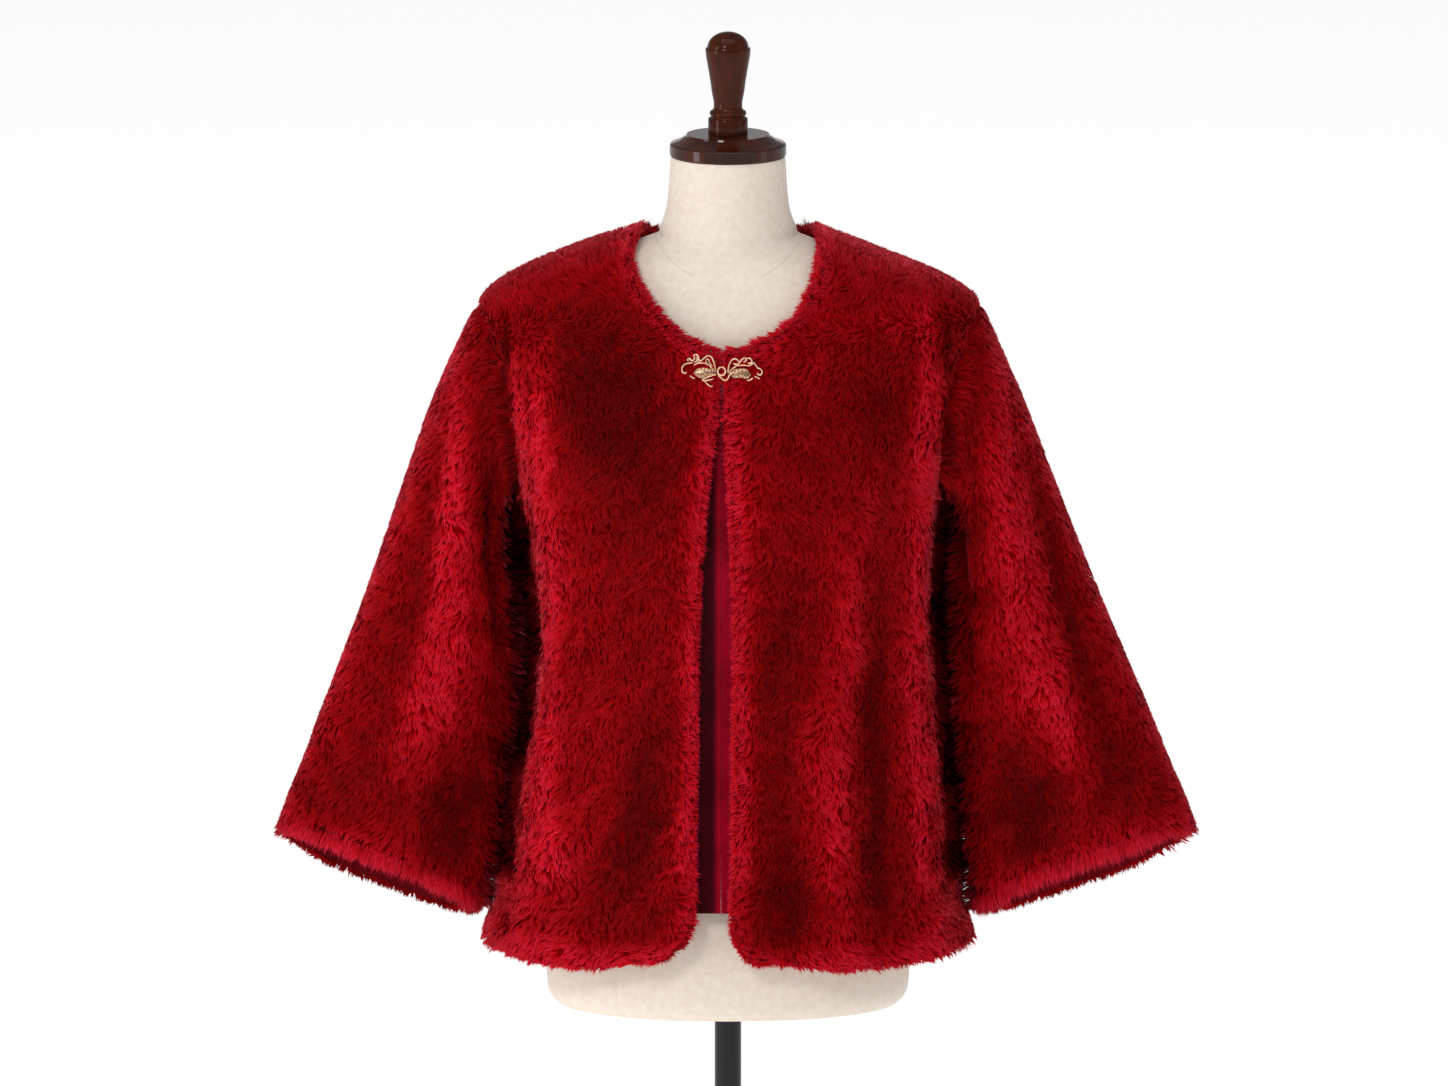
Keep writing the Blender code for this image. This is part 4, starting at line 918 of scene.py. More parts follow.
def build_shell(name, patches, start, end, fine, materials, shift=None):
    """Closed thin shell between two shares of a wall's depth, over one or two patches."""
    points, ways, quads = [], [], []
    for patch in patches:
        rows = np.linspace(0.0, patch.rows, patch.rows * fine + 1)
        columns = np.linspace(0.0, patch.columns, patch.columns * fine + 1)
        row, column = np.meshgrid(rows, columns, indexing="ij")
        point, way = patch.at(row, column)
        if shift is not None:
            point = point + shift(point, unit(way), row / patch.rows, column / patch.columns)
        first = sum(len(p) for p in points)
        index = first + np.arange(row.size).reshape(row.shape)
        points.append(point.reshape(-1, 3))
        ways.append(way.reshape(-1, 3))
        quads.append(np.stack([index[:-1, :-1], index[:-1, 1:], index[1:, 1:], index[1:, :-1]],
                              axis=-1).reshape(-1, 4))
    points, ways, quads = np.concatenate(points), np.concatenate(ways), np.concatenate(quads)
    _, kept, merged = np.unique(np.round(points / 1e-6), axis=0, return_index=True, return_inverse=True)
    points, ways, quads = points[kept], ways[kept], merged.reshape(-1)[quads]
    mesh = bmesh.new()
    outer = [mesh.verts.new(p) for p in points + ways * start]
    inner = [mesh.verts.new(p) for p in points + ways * end]
    edges = {}
    for quad in quads:
        if len(set(quad)) < 4:
            continue
        mesh.faces.new([outer[corner] for corner in quad])
        mesh.faces.new([inner[corner] for corner in quad[::-1]]).material_index = len(materials) - 1
        for pair in zip(quad, np.roll(quad, -1)):
            key = tuple(sorted(pair))
            edges[key] = edges.get(key, 0) + 1
    for (a, b), used in edges.items():
        if used == 1:
            mesh.faces.new([outer[a], outer[b], inner[b], inner[a]])
    return to_object(name, mesh, *materials)


for panel, patches in PATCHES.items():
    # The sleeves' skins are lined with the darker satin, as painted shade
    lining = satin_painted_shade if panel.startswith("sleeve") else satin_lining
    skin = build_shell(panel + "_skin", patches, SKIN_DEPTH, 1.0, SKIN_FINE, (fur_backing, lining))
    stand_for(skin, panel)
    print(panel, "skin faces", len(skin.data.polygons))

# %% Fur
# %% [markdown]
# Pile cloth is thousands of soft fibres that cling together in small locks. A lock here is a flat ribbon
# that starts on the skin, bends over with the nap and ends in a point.
# Locks grow in clumps of a few that lean the same way, and the lean wanders over the cloth,
# which is what gives fur its swirls. At an open edge they fan out around it.
# %%
LOCK_WIDTH = 0.0018
LOCKS_IN_CLUMP = 4
COMB_REACH = 0.0084
CLASP_CENTRE = (-0.0059, 1.2740)
CLASP_REACH = (0.044, 0.020)
FINE_SHARE = 0.26
EDGE_LOCKS_PER_METRE = 7000
EDGE_STEPS = 160
EDGE_TURN = (-1.0, 2.7)
# Change of an edge lock's size, and the heights between which it comes in
EDGE_SIZES = ((0.0012, 1.19, 1.23), (0.0026, 1.258, 1.268), (-0.0060, 1.368, 1.385))
CUFF_CORNER = (0.375, 0.405)
CUFF_NEAR_SIDE = (-0.005, 0.025)
HEM_CORNER = (0.19, 0.22)
HEM_CORNER_TOP = (0.74, 0.76)
HEM_TOP = (0.72, 0.74)
# Sizes of the nap's swirls, with how far each turns it
SWIRLS = ((0.022, 0.8), (0.009, 0.3))
TURN_SPREAD = 0.20
SHOULDER_CALM = (1.27, 1.33)
SHOULDER_OVER = (1.285, 1.335)
LOCK_LIFT = 0.0004
CLASP_PRESS = 0.0030
SEAM_PRESS = 0.0030
GAP_LIFT = 0.0085
SHADE_LIFT = 0.0015
CLUMP_SPREAD = 0.0015
BULGE = (0.0008, 0.0016)
# A body panel's pile and a sleeve's: how freely it turns, how calm it lies, how far it lifts at open edges and
# how much painted sheen it gets where it turns away. Then, for what is pressed and for what lies hidden and gets
# painted shade between sleeve and body, the distance behind the front, the least inward turn and the lowest height
BODY_PILE = (0.9, 0.35, 0.0009, 0.1, ((-0.045, 0.35, 0.752), (-0.060, 0.58, 0.77)))
SLEEVE_PILE = (0.7, 0.7, 0.0022, 0.32, ((-0.045, 0.35, 0.68), (-0.045, 0.84, 0.73)))
SIDE_BACK = (0.065, 0.090)
SIDE_TOP = 1.23


def wander(points, size, seed):
    """Smooth random number from -1 to 1 at each point, which changes over about the given size."""
    rng = np.random.default_rng(seed)
    total = 0.0
    for _ in range(7):
        wave = unit(rng.normal(size=3)) * 2.0 * math.pi / (size * rng.uniform(1.2, 3.0))
        total = total + np.sin(points @ wave + rng.uniform(0.0, 2.0 * math.pi))
    return np.clip(total / 3.2, -1.0, 1.0)


def turned(direction, axis, angle):
    """Directions turned about an axis that stands square to them."""
    return direction * np.cos(angle)[..., None] + np.cross(axis, direction) * np.sin(angle)[..., None]


def flattened(direction, normal):
    """Direction laid into the surface."""
    return unit(direction - normal * np.sum(direction * normal, axis=-1, keepdims=True))


# %% [markdown]
# Some places press on the pile: the clasp, the armhole seams, and the sides where sleeve and body touch.
# Along the seams and deep between sleeve and body, shade is also painted into the pile. Each of these functions tells
# how much, from 0 to 1.
# %%


def clasp_hollow(points):
    """1 under the clasp, where the pile is pressed down, and 0 elsewhere."""
    across = (points[:, 0] - CLASP_CENTRE[0]) / CLASP_REACH[0]
    up = (points[:, 2] - CLASP_CENTRE[1]) / CLASP_REACH[1]
    return (1.0 - smooth_step(across ** 2 + up ** 2, 0.6, 1.3)) * (points[:, 1] < 0.0)


def pressed_side(points, normal, sleeve, start, least, low):
    """1 where the sleeve and the body lie against each other, from a distance behind the front."""
    inward = normal[:, 0] * np.sign(points[:, 0]) * (-1.0 if sleeve else 1.0)
    behind = smooth_step(points[:, 1], start, start + 0.025) * (1.0 - smooth_step(points[:, 1], *SIDE_BACK))
    return (smooth_step(inward, least, least + 0.25) * behind * smooth_step(points[:, 2], low, low + 0.03)
            * smooth_step(SIDE_TOP - points[:, 2], 0.0, 0.05))


def open_edge(patch, row, column):
    """1 at the hem, the cuff, the front edge and the neck, and 0 a little way in."""
    if patch.closed:
        return smooth_step(row, patch.rows - 1.2, patch.rows)
    side_edge = 1.0 - smooth_step(column, 0.0, 1.2)
    if patch.behind:
        side_edge = side_edge * (row > ROWS - BACK_NECK_ROWS)
    return np.maximum(side_edge, 1.0 - smooth_step(row, 0.2, 2.4))


def seam_crease(patch, row, column):
    """1 along the armhole seam, which pulls the pile in and gets painted shade, and 0 away from it."""
    if patch.closed:
        height = patch.values(row, column)[:, 2]
        return (1.0 - smooth_step(row, 0.0, 0.5)) * smooth_step(height, 1.17, 1.21)
    return smooth_step(column, FRONT_COLUMNS - 0.8, FRONT_COLUMNS) * smooth_step(row, LOWER_ROWS, LOWER_ROWS + 2.0)


# %% [markdown]
# The locks over a panel lie with its nap. The nap turns up over the shoulders, leans outward near open edges,
# lies calmer on the sleeves and rises less where the clasp, a seam or another panel presses on it.
# %%


def face_locks(patch, clumps, nap, seed):
    """Roots, middles, tips, side directions and tones of the locks over a panel."""
    rng = np.random.default_rng(seed)
    row, column = patch.scatter(clumps, rng)
    clumps = len(row)
    point, through, normal, upward, across = patch.frame(row, column)
    height = point[:, 2]
    turn_share, least_calm, edge_lift, painted_sheen_tone, limits = SLEEVE_PILE if patch.closed else BODY_PILE
    angle = sum(wander(point, size, seed + 1 + place) * far for place, (size, far) in enumerate(SWIRLS))
    angle = angle * turn_share + rng.normal(0.0, TURN_SPREAD, clumps)
    edge = open_edge(patch, row, column)
    calm = np.maximum(smooth_step(height, *SHOULDER_CALM), least_calm)
    over, outward = 0.0 * calm, 0.0 * across
    if not patch.closed:
        over, outward = smooth_step(height, *SHOULDER_OVER), -unit(across)
    if patch.behind:
        over = over * (1.0 - smooth_step(row, patch.rows - 2.0, patch.rows - 0.8))
    comb = unit(upward) * (nap * (1.0 - 2.0 * over))[:, None]
    comb = comb + outward * (1.1 * edge * (row > 1.5) + 3.0 * over * (1.0 - over))[:, None]
    comb = turned(flattened(comb, normal), normal, angle)
    reach = COMB_REACH * rng.uniform(0.7, 1.25, clumps)
    lift = 0.0005 * wander(point, 0.006, seed + 3) + rng.normal(0.0, 0.0002, clumps)
    lift = LOCK_LIFT + lift * (1.0 - 0.8 * calm) + edge_lift * edge
    lift = lift - CLASP_PRESS * clasp_hollow(point)
    tone = 0.5 + 0.11 * wander(point, 0.012, seed + 4) + rng.normal(0.0, 0.04, clumps)
    # Painted light and shade: lighter on fold ridges, in the lit spots and lines and at open edges, darker in hollows
    # and the shaded spots
    tone = tone + patch.values(row, column)[:, 6] + painted_light_tone(point) + 0.45 * edge
    # Locks between sleeve and body stand up in the gap, and those farther in lift a little and get painted shade
    pressed, gap_shade = (pressed_side(point, normal, patch.closed, *limit) for limit in limits)
    crease = seam_crease(patch, row, column)
    # Painted sheen: the pile's tone rises where a surface turns away to the side
    painted_sheen = smooth_step(normal[:, 0] * np.sign(point[:, 0]), 0.55, 0.95) * (1.0 - pressed)
    lift = lift + GAP_LIFT * pressed + SHADE_LIFT * gap_shade - SEAM_PRESS * crease
    reach = reach * (1.0 - 0.4 * pressed)
    # Painted sheen where the surface turns away, painted shade along the armhole seam and deep between sleeve and
    # body
    tone = np.clip(tone + painted_sheen_tone * painted_sheen - 0.45 * crease - 0.75 * gap_shade, 0.0, 1.0)
    many = clumps * LOCKS_IN_CLUMP
    point, through, normal, comb, reach, lift, tone, row, column, calm = (
        np.repeat(a, LOCKS_IN_CLUMP, axis=0)
        for a in (point, through, normal, comb, reach, lift, tone, row, column, calm))
    beside = np.cross(normal, comb)
    spread = rng.normal(0.0, CLUMP_SPREAD, (many, 2))
    shifted = comb * spread[:, :1] + beside * spread[:, 1:]
    root = point + through * (SKIN_DEPTH + 0.04) + shifted
    strand_reach = reach * rng.uniform(0.8, 1.15, many)
    drop = np.abs(rng.normal(0.0, 0.0004, many)) * (1.0 - 0.7 * calm)
    shift = shifted * 0.65 + comb * strand_reach[:, None] + beside * rng.normal(0.0, 0.0007, (many, 1))
    lift = lift - drop + patch.rise(row, column, shift)
    tip = point + shift + normal * lift[:, None]
    bulge = rng.uniform(*BULGE, many) * (1.0 - 0.4 * calm)
    middle = root + (tip - root) * 0.5 + normal * bulge[:, None]
    sideways = turned(beside, unit(tip - root), rng.normal(0.0, 0.5, many))
    return root, middle, tip, sideways, normal, tone, rng.random(many)


# %% [markdown]
# Round an open edge the locks point every way from the outer face to the inner one. They are shorter under the clasp,
# at the neck and at the corners of hem and cuffs. The near side of a cuff rolls down over its mouth, and its far side
# is a thinner fringe with painted shade. All edge locks get painted light, a higher tone than the face.
# %%


def edge_locks(patch, line, outward, nap, seed):
    """Locks that fan out around an open edge, given as rows and columns of points on it."""
    rng = np.random.default_rng(seed)
    path = patch.at(*line)[0]
    reach = np.concatenate([[0.0], np.cumsum(np.linalg.norm(np.diff(path, axis=0), axis=1))])
    count = int(reach[-1] * EDGE_LOCKS_PER_METRE)
    where = rng.uniform(0.0, reach[-1], count)
    row, column = (np.interp(where, reach, part) for part in line)
    point, through, normal, upward, across = patch.frame(row, column)
    away = flattened(unit(outward[0] * unit(upward) + outward[1] * unit(across)), normal)
    lengthways = np.cross(normal, away)
    wall = np.linalg.norm(through, axis=-1)[:, None]
    turn = rng.uniform(*EDGE_TURN, count)[:, None]
    lean = wander(point, 0.012, seed + 1)[:, None] * 0.0035 + rng.normal(0.0, 0.0016, (count, 1))
    ray = normal * np.cos(turn) + away * np.sin(turn)
    centre = point + through * 0.5
    root = centre + away * 0.0004 + lengthways * rng.normal(0.0, 0.0008, (count, 1))
    size = wall * 0.5 + 0.0012 + rng.normal(0.0, 0.0008, (count, 1))
    size = size - 0.0022 * clasp_hollow(point)[:, None]
    side, height = np.abs(point[:, :1]), point[:, 2:]
    for change, start, end in EDGE_SIZES:
        size = size + change * smooth_step(height, start, end)
    far_side_shade, roll = 0.0 * size, 0.0 * size
    if patch.closed:
        corner = smooth_step(side, *CUFF_CORNER)
        near = smooth_step(-point[:, 1:2], *CUFF_NEAR_SIDE)
        left = float(np.mean(point[:, 0]) > 0.0)
        size = size - 0.0040 * corner
        size = size + 0.0040 * near - 0.0024 * (1.0 - near)
        far_side_shade = (0.35 - 0.20 * left) * (1.0 - near)
        roll = (0.0048 + 0.0030 * left) * near * (1.0 - 0.3 * corner)
    else:
        size = size - 0.0026 * (smooth_step(side, *HEM_CORNER) * (1.0 - smooth_step(height, *HEM_CORNER_TOP)))
        size = size - 0.0022 * (1.0 - smooth_step(height, *HEM_TOP))
    tip = centre + ray * size + away * roll + lengthways * lean
    tip = tip + unit(upward) * nap * rng.uniform(0.0, 0.003, (count, 1))
    middle = centre + unit(ray + normal * 0.35) * size * 0.5 + lengthways * lean * 0.4
    sideways = turned(lengthways, unit(tip - root), rng.normal(0.0, 0.6, count))
    # Painted light on the edge, with painted shade on the far side of a cuff
    tone = 0.96 + 0.12 * wander(point, 0.010, seed + 2) + rng.normal(0.0, 0.10, count)
    tone = np.clip(tone - far_side_shade[:, 0], 0.0, 1.0)
    facing = unit(0.5 * ray + 0.8 * normal + np.array([0.0, 0.0, 0.35]))
    return root, middle, tip, sideways, facing, tone, rng.random(count)


# %% [markdown]
# All the locks of a panel become one mesh. Writing whole arrays at once is far quicker than
# adding faces one by one.
# %%


def build_locks(name, sets):
    """One mesh of all the locks: a quad from root to middle and a triangle to the tip."""
    root, middle, tip, sideways, facing, tone, own = (np.concatenate(part) for part in zip(*sets))
    count = len(root)
    rng = np.random.default_rng(count)
    half = sideways * (LOCK_WIDTH * rng.uniform(0.35, 0.65, count))[:, None]
    # Some locks are single longer fibres, which soften every edge. They get a painted highlight, a slightly higher
    # tone.
    fine = rng.random(count) < FINE_SHARE
    half[fine] *= 0.35
    tone[fine] = np.clip(tone[fine] + 0.12, 0.0, 1.0)
    tip[fine] += (tip[fine] - root[fine]) * rng.uniform(0.05, 0.28, (fine.sum(), 1))
    turned_in = np.sum(np.cross(half, middle - root) * facing, axis=1) < 0.0
    half[turned_in] *= -1.0
    corners = np.stack([root - half * 0.8, root + half * 0.8, middle + half, middle - half, tip], axis=1)
    first = 5 * np.arange(count)[:, None]
    data = bpy.data.meshes.new(name)
    data.vertices.add(5 * count)
    data.vertices.foreach_set("co", corners.reshape(-1))
    data.loops.add(7 * count)
    data.loops.foreach_set("vertex_index", (first + np.array([[0, 1, 2, 3, 3, 2, 4]])).reshape(-1))
    data.polygons.add(2 * count)
    starts = (7 * np.arange(count)[:, None] + np.array([[0, 4]])).reshape(-1)
    data.polygons.foreach_set("loop_start", starts)
    data.update(calc_edges=True)
    tones = data.color_attributes.new("strand", "FLOAT_COLOR", "POINT")
    along_lock = np.tile([0.0, 0.0, 0.55, 0.55, 1.0], count)
    values = np.stack([along_lock, np.repeat(tone, 5), np.repeat(own, 5), np.ones(5 * count)], axis=1)
    tones.data.foreach_set("color", values.reshape(-1))
    data.materials.append(fur_pile)
    data.shade_smooth()
    # Fibres in a lock face every way, so a lock is lit as the cloth under it is, with a lean of its own
    lit = unit(facing + rng.normal(0.0, 0.16, (count, 3)))
    heading = unit(tip - root)
    data.normals_split_custom_set_from_vertices(
        np.stack([lit, lit, lit, lit, unit(lit + 0.4 * heading)], axis=1).reshape(-1, 3))
    made = add_object(name, data)
    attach(made, "root")
    print(name, "locks", count, "triangles", 3 * count)
    return made


def straight(start, end, fixed, along_rows):
    """Rows and columns of points along one edge of a patch."""
    moving = np.linspace(start, end, EDGE_STEPS)
    still = np.full(EDGE_STEPS, float(fixed))
    return (moving, still) if along_rows else (still, moving)


# %% [markdown]
# Two patches make the back, and one makes each other panel. A fixed seed draws the same locks
# on every run.
# %%
FACE_CLUMPS = {"jacket_back": 6600, "jacket_front_left": 13000, "jacket_front_right": 13000,
               "sleeve_left": 14000, "sleeve_right": 14000}
for number, (panel, patches) in enumerate(PATCHES.items()):
    sets = []
    for part, patch in enumerate(patches):
        seed = 1000 * number + 300 * part + 7
        nap = 1.0 if patch.closed else -1.0
        sets.append(face_locks(patch, FACE_CLUMPS[panel], nap, seed))
        hem = straight(0.0, patch.columns, patch.rows if patch.closed else 0.0, False)
        sets.append(edge_locks(patch, hem, (nap, 0.0), nap, seed + 10))
        if not patch.closed:
            first_row = ROWS - BACK_NECK_ROWS if patch.behind else 0.0
            upright = straight(first_row, ROWS, 0.0, True)
            sets.append(edge_locks(patch, upright, (0.0, -1.0), nap, seed + 20))
    build_locks(panel + "_fur", sets)

# %% Satin facings
# %% [markdown]
# Behind the front edges a strip of satin covers the gap. It hangs from the edge in one soft upright fold.
# %%
FACING_BOTTOM = 0.766
FACING_FIRST_ROW = 3
FACING_LAST_ROW = LOWER_ROWS + 3
FACING_COLUMNS = 3
FACING_MEETING = -0.0065
FACING_START = 0.1
FACING_DEPTH = 0.55
FACING_FINE = 4


def facing_grid(side):
    """Outer points of a facing and the ways through its cloth."""
    angles, heights = half_panel(side, False)
    chosen = slice(FACING_FIRST_ROW, FACING_LAST_ROW + 1)
    angles = angles[chosen, :FACING_COLUMNS + 1]
    heights = heights[chosen, :FACING_COLUMNS + 1]
    angles = np.concatenate([angles[:1], angles])
    heights = np.concatenate([0.0 * heights[:1] + FACING_BOTTOM, heights])
    meeting = angle_at(FACING_MEETING, heights[:, :1])
    halfway = (meeting + angles[:, :1]) / 2.0
    angles = np.concatenate([meeting, halfway, angles], axis=1)
    heights = np.concatenate([heights[:, :1], heights[:, :1], heights], axis=1)
    outer, through = coat_wall(angles, heights)
    way = unit(through)
    widening = np.linspace(0.7, 1.8, angles.shape[1])[None, :, None]
    points = outer + through + way * FACING_GAP * widening
    points[:, 0, 0] = FACING_MEETING + side * SEAM_GAP / 2.0
    return points, way * FACING_WALL


def facing_fold(point, way, down, across):
    """Soft upright folds that fade toward the sewn side."""
    wave = np.sin(across * 7.5 + 0.8 * np.sin(down * 5.0)) * (1.0 - smooth_step(across, 0.35, 0.6))
    return way * (0.0006 * wave * smooth_step(across, 0.02, 0.12))[..., None]


for side_name, side in (("left", 1.0), ("right", -1.0)):
    shell = build_shell("facing_" + side_name + "_satin", [Patch(*facing_grid(side))], FACING_START, FACING_DEPTH,
                        FACING_FINE, (satin_facing_painted_shadow,), facing_fold)
    stand_for(shell, "facing_" + side_name)

# %% Form
# %% [markdown]
# The dress form is one smooth padded body covered in linen, with a cord-thin groove at each seam.
# %%


def bridge(mesh, rings):
    """Closed skin through rings of equal count, from the first to the last."""
    levels = [[mesh.verts.new(point) for point in ring] for ring in rings]
    for lower, upper in zip(levels, levels[1:]):
        for place in range(len(lower)):
            beside = (place + 1) % len(lower)
            mesh.faces.new([lower[place], lower[beside], upper[beside], upper[place]])
    mesh.faces.new(levels[0][::-1])
    mesh.faces.new(levels[-1])


def smooth_line(points, steps):
    """Even curve through a few points, or through a few rings of points."""
    points = np.array(points, dtype=float)
    where = np.linspace(0.0, len(points) - 1.0, (len(points) - 1) * steps + 1)
    cell = np.minimum(where.astype(int), len(points) - 2)
    weights = [weight.reshape(-1, *[1] * (points.ndim - 1)) for weight in cubic(where - cell)]
    return sum(weight * extended(points)[cell + place] for place, weight in enumerate(weights))


def form_rings(turns):
    """The form's rings from the hip to the neck."""
    rings = []
    for height, half, front, back in FORM_RINGS:
        x, y = ring_point(turns, half, half, front, back)
        rings.append(np.stack([x, y, 0.0 * turns + height], axis=-1))
    for level in FORM_SHOULDER_LEVELS:
        height = 0.0 * turns + level
        narrow = 1.0 - ARM_END_INSET * (1.0 - smooth_step(level, *ARM_END_HEIGHTS))
        ring = coat_base(turns, height)
        ring = ring - surface_normal(coat_base, turns, height) * (FUR_WALL + SHOULDER_GAP)
        ring[:, 0] *= narrow
        rings.append(ring)
    for height, radius in FORM_NECK:
        rings.append(np.stack([radius * np.sin(turns), -radius * np.cos(turns), 0.0 * turns + height], axis=-1))
    return np.array(rings)


FORM_FINE = 3
FORM_COLUMNS = 120
FORM_SEAMS = (-0.62, 0.62)
SEAM_DEPTH = 0.0009
SEAM_SIDES = 0.012
SEAM_WIDTH = 0.008
turns = np.linspace(0.0, 2.0 * math.pi, FORM_COLUMNS, endpoint=False)
extra = np.array([seam + shift for seam in FORM_SEAMS for shift in (-SEAM_SIDES, 0.0, SEAM_SIDES)])
turns = np.sort(np.concatenate([turns, extra % (2.0 * math.pi)]))
rings = smooth_line(form_rings(turns), FORM_FINE)
inward = unit(rings * (1.0, 1.0, 0.0))
for seam in FORM_SEAMS:
    apart = np.angle(np.exp(1j * (turns - seam)))
    depth = SEAM_DEPTH * (1.0 - smooth_step(rings[..., 2], 0.9, 1.0)) * np.exp(-(apart / SEAM_WIDTH) ** 2)
    rings = rings - inward * depth[..., None]
mesh = bmesh.new()
bridge(mesh, rings)
form = stand_for(to_object("form_linen", mesh, linen), "form_body")
print("form faces", len(form.data.polygons))

# %% Turned wood and stand
# %% [markdown]
# The cap and the finial are turned on a lathe. Spinning a profile about the upright axis makes the same shape.
# %%
CAP_PROFILE = (
    (0.0525, 0.0), (0.0541, 0.0012), (0.0541, 0.0103), (0.053, 0.0116), (0.0495, 0.0125), (0.0452, 0.0145),
    (0.0412, 0.0172), (0.0388, 0.0185), (0.0383, 0.0202),
)
FINIAL_PROFILE = (
    (0.0183, 0.0), (0.0184, 0.0006), (0.0184, 0.0136), (0.018, 0.0144), (0.0166, 0.015), (0.016, 0.0158),
    (0.016, 0.0166), (0.0168, 0.0176), (0.0172, 0.019), (0.0168, 0.0204), (0.0156, 0.0214), (0.0144, 0.022),
    (0.0136, 0.0232), (0.0132, 0.0255), (0.0134, 0.03), (0.015, 0.038), (0.0165, 0.049), (0.0183, 0.06),
    (0.0203, 0.0715), (0.0209, 0.0765), (0.0211, 0.0785), (0.0207, 0.08), (0.0194, 0.0805), (0.0191, 0.081),
    (0.019, 0.0826), (0.0182, 0.0852), (0.0167, 0.0878), (0.0145, 0.0902), (0.0116, 0.0923), (0.0083, 0.0938),
    (0.0045, 0.0948), (0.0012, 0.0951),
)
FOOT_BEVEL = 0.003


def build_turned(name, solid, profile, bottom, steps, finish):
    """Spin a profile of radius and height into a closed turned piece."""
    mesh = bmesh.new()
    profile = [(0.0, profile[0][1])] + list(profile) + [(0.0, profile[-1][1])]
    verts = [mesh.verts.new((radius, 0.0, bottom + height)) for radius, height in profile]
    edges = [mesh.edges.new(pair) for pair in zip(verts, verts[1:])]
    bmesh.ops.spin(mesh, geom=verts + edges, cent=(0.0, 0.0, 0.0), axis=(0.0, 0.0, 1.0),
                   angle=2.0 * math.pi, steps=steps, use_merge=True)
    bmesh.ops.remove_doubles(mesh, verts=mesh.verts, dist=1e-6)
    stand_for(to_object(name, mesh, finish), solid)


cap_bottom = NECK_TOP + REST_GAP
finial_bottom = cap_bottom + CAP_PROFILE[-1][1] + REST_GAP
build_turned("cap_wood", "cap_disc", CAP_PROFILE, cap_bottom, 96, mahogany_cap)
build_turned("finial_wood", "finial", FINIAL_PROFILE, finial_bottom, 72, mahogany)
foot_profile = ((BASE_RADIUS, 0.0), (BASE_RADIUS, BASE_THICKNESS - FOOT_BEVEL),
                (BASE_RADIUS - FOOT_BEVEL, BASE_THICKNESS))
build_turned("foot_plate", "stand_base", foot_profile, 0.0, 128, steel)
pole_bottom = BASE_THICKNESS + REST_GAP
pole_profile = ((POLE_RADIUS, 0.0), (POLE_RADIUS, FORM_RINGS[0][0] - REST_GAP - pole_bottom))
build_turned("pole_tube", "stand_pole", pole_profile, pole_bottom, 48, steel)

# %% Clasp
# %% [markdown]
# The clasp is bent from gilt wire: loops, a scroll and a net-covered leaf on each side of a small ring.
# A smooth curve is laid through a few points, and a round section is carried along it.
# %%
# Radius of each wire, then outward and up of its points, in millimetres from the ring
CLASP_WIRES = {
    "right": (
        (0.75, ((5.8, -0.6), (6.1, 4.5), (7.6, 9.4), (9.5, 12.9), (12.2, 13.9), (14.5, 13.0), (16.7, 11.3),
                (18.7, 9.6), (20.7, 10.2), (21.2, 12.7), (23.3, 15.0), (25.4, 14.2), (24.9, 11.8), (26.4, 9.6),
                (28.2, 9.9), (29.7, 11.6), (31.2, 10.3), (30.3, 8.4))),
        (0.7, ((26.3, 7.5), (30.0, 7.2), (33.1, 6.4), (34.9, 5.2), (36.2, 3.5), (36.5, 1.2), (35.5, -1.1),
               (33.4, -2.0), (32.2, -0.8))),
        (0.62, ((6.6, 0.0), (9.2, 3.1), (11.7, 5.6), (15.1, 7.0), (18.5, 7.4), (22.6, 6.9), (25.8, 5.3))),
        (0.5, ((8.4, 4.6), (11.1, 7.7), (12.0, 10.6), (13.9, 10.6), (14.4, 8.6), (13.2, 7.2))),
        (0.5, ((18.4, 7.6), (21.2, 8.3), (23.2, 10.0), (22.8, 12.4), (21.6, 11.4), (22.8, 9.2), (25.6, 8.0))),
        (0.7, ((4.6, -2.6), (7.5, -3.3), (10.2, -4.2), (15.1, -6.1), (17.6, -7.2), (15.9, -8.5), (11.4, -7.7),
               (7.6, -6.9))),
        (0.55, ((15.4, -8.8), (14.3, -10.2), (12.4, -12.0), (9.5, -13.6), (8.4, -12.7))),
        (0.65, ((29.2, -4.0), (27.6, -5.1), (26.2, -6.0), (24.7, -6.4))),
    ),
    "left": (
        (0.75, ((5.9, -1.8), (6.4, 3.2), (7.8, 7.7), (10.0, 10.5), (12.8, 11.1), (15.3, 9.6), (16.2, 7.2),
                (13.7, 6.3), (10.3, 7.0))),
        (0.75, ((16.2, 7.2), (17.2, 8.6), (18.7, 10.7), (21.5, 11.9), (22.9, 10.0), (20.2, 8.0), (22.0, 9.2),
                (23.5, 11.7), (26.4, 11.2), (28.0, 8.8), (26.4, 7.2), (23.9, 7.7))),
        (0.7, ((6.6, -0.9), (10.3, 2.6), (13.4, 4.8), (17.1, 5.4), (20.8, 5.4), (24.6, 5.0), (27.7, 6.2), (29.8, 7.5),
               (31.4, 5.4), (33.5, 2.9), (36.3, 1.6), (37.4, -0.9), (35.9, -3.2), (33.5, -2.9), (32.9, -1.2))),
        (0.65, ((23.3, -8.2), (26.4, -7.6), (28.6, -5.8))), (0.65, ((30.4, -4.5), (32.9, -5.6), (35.1, -6.9))),
    ),
}
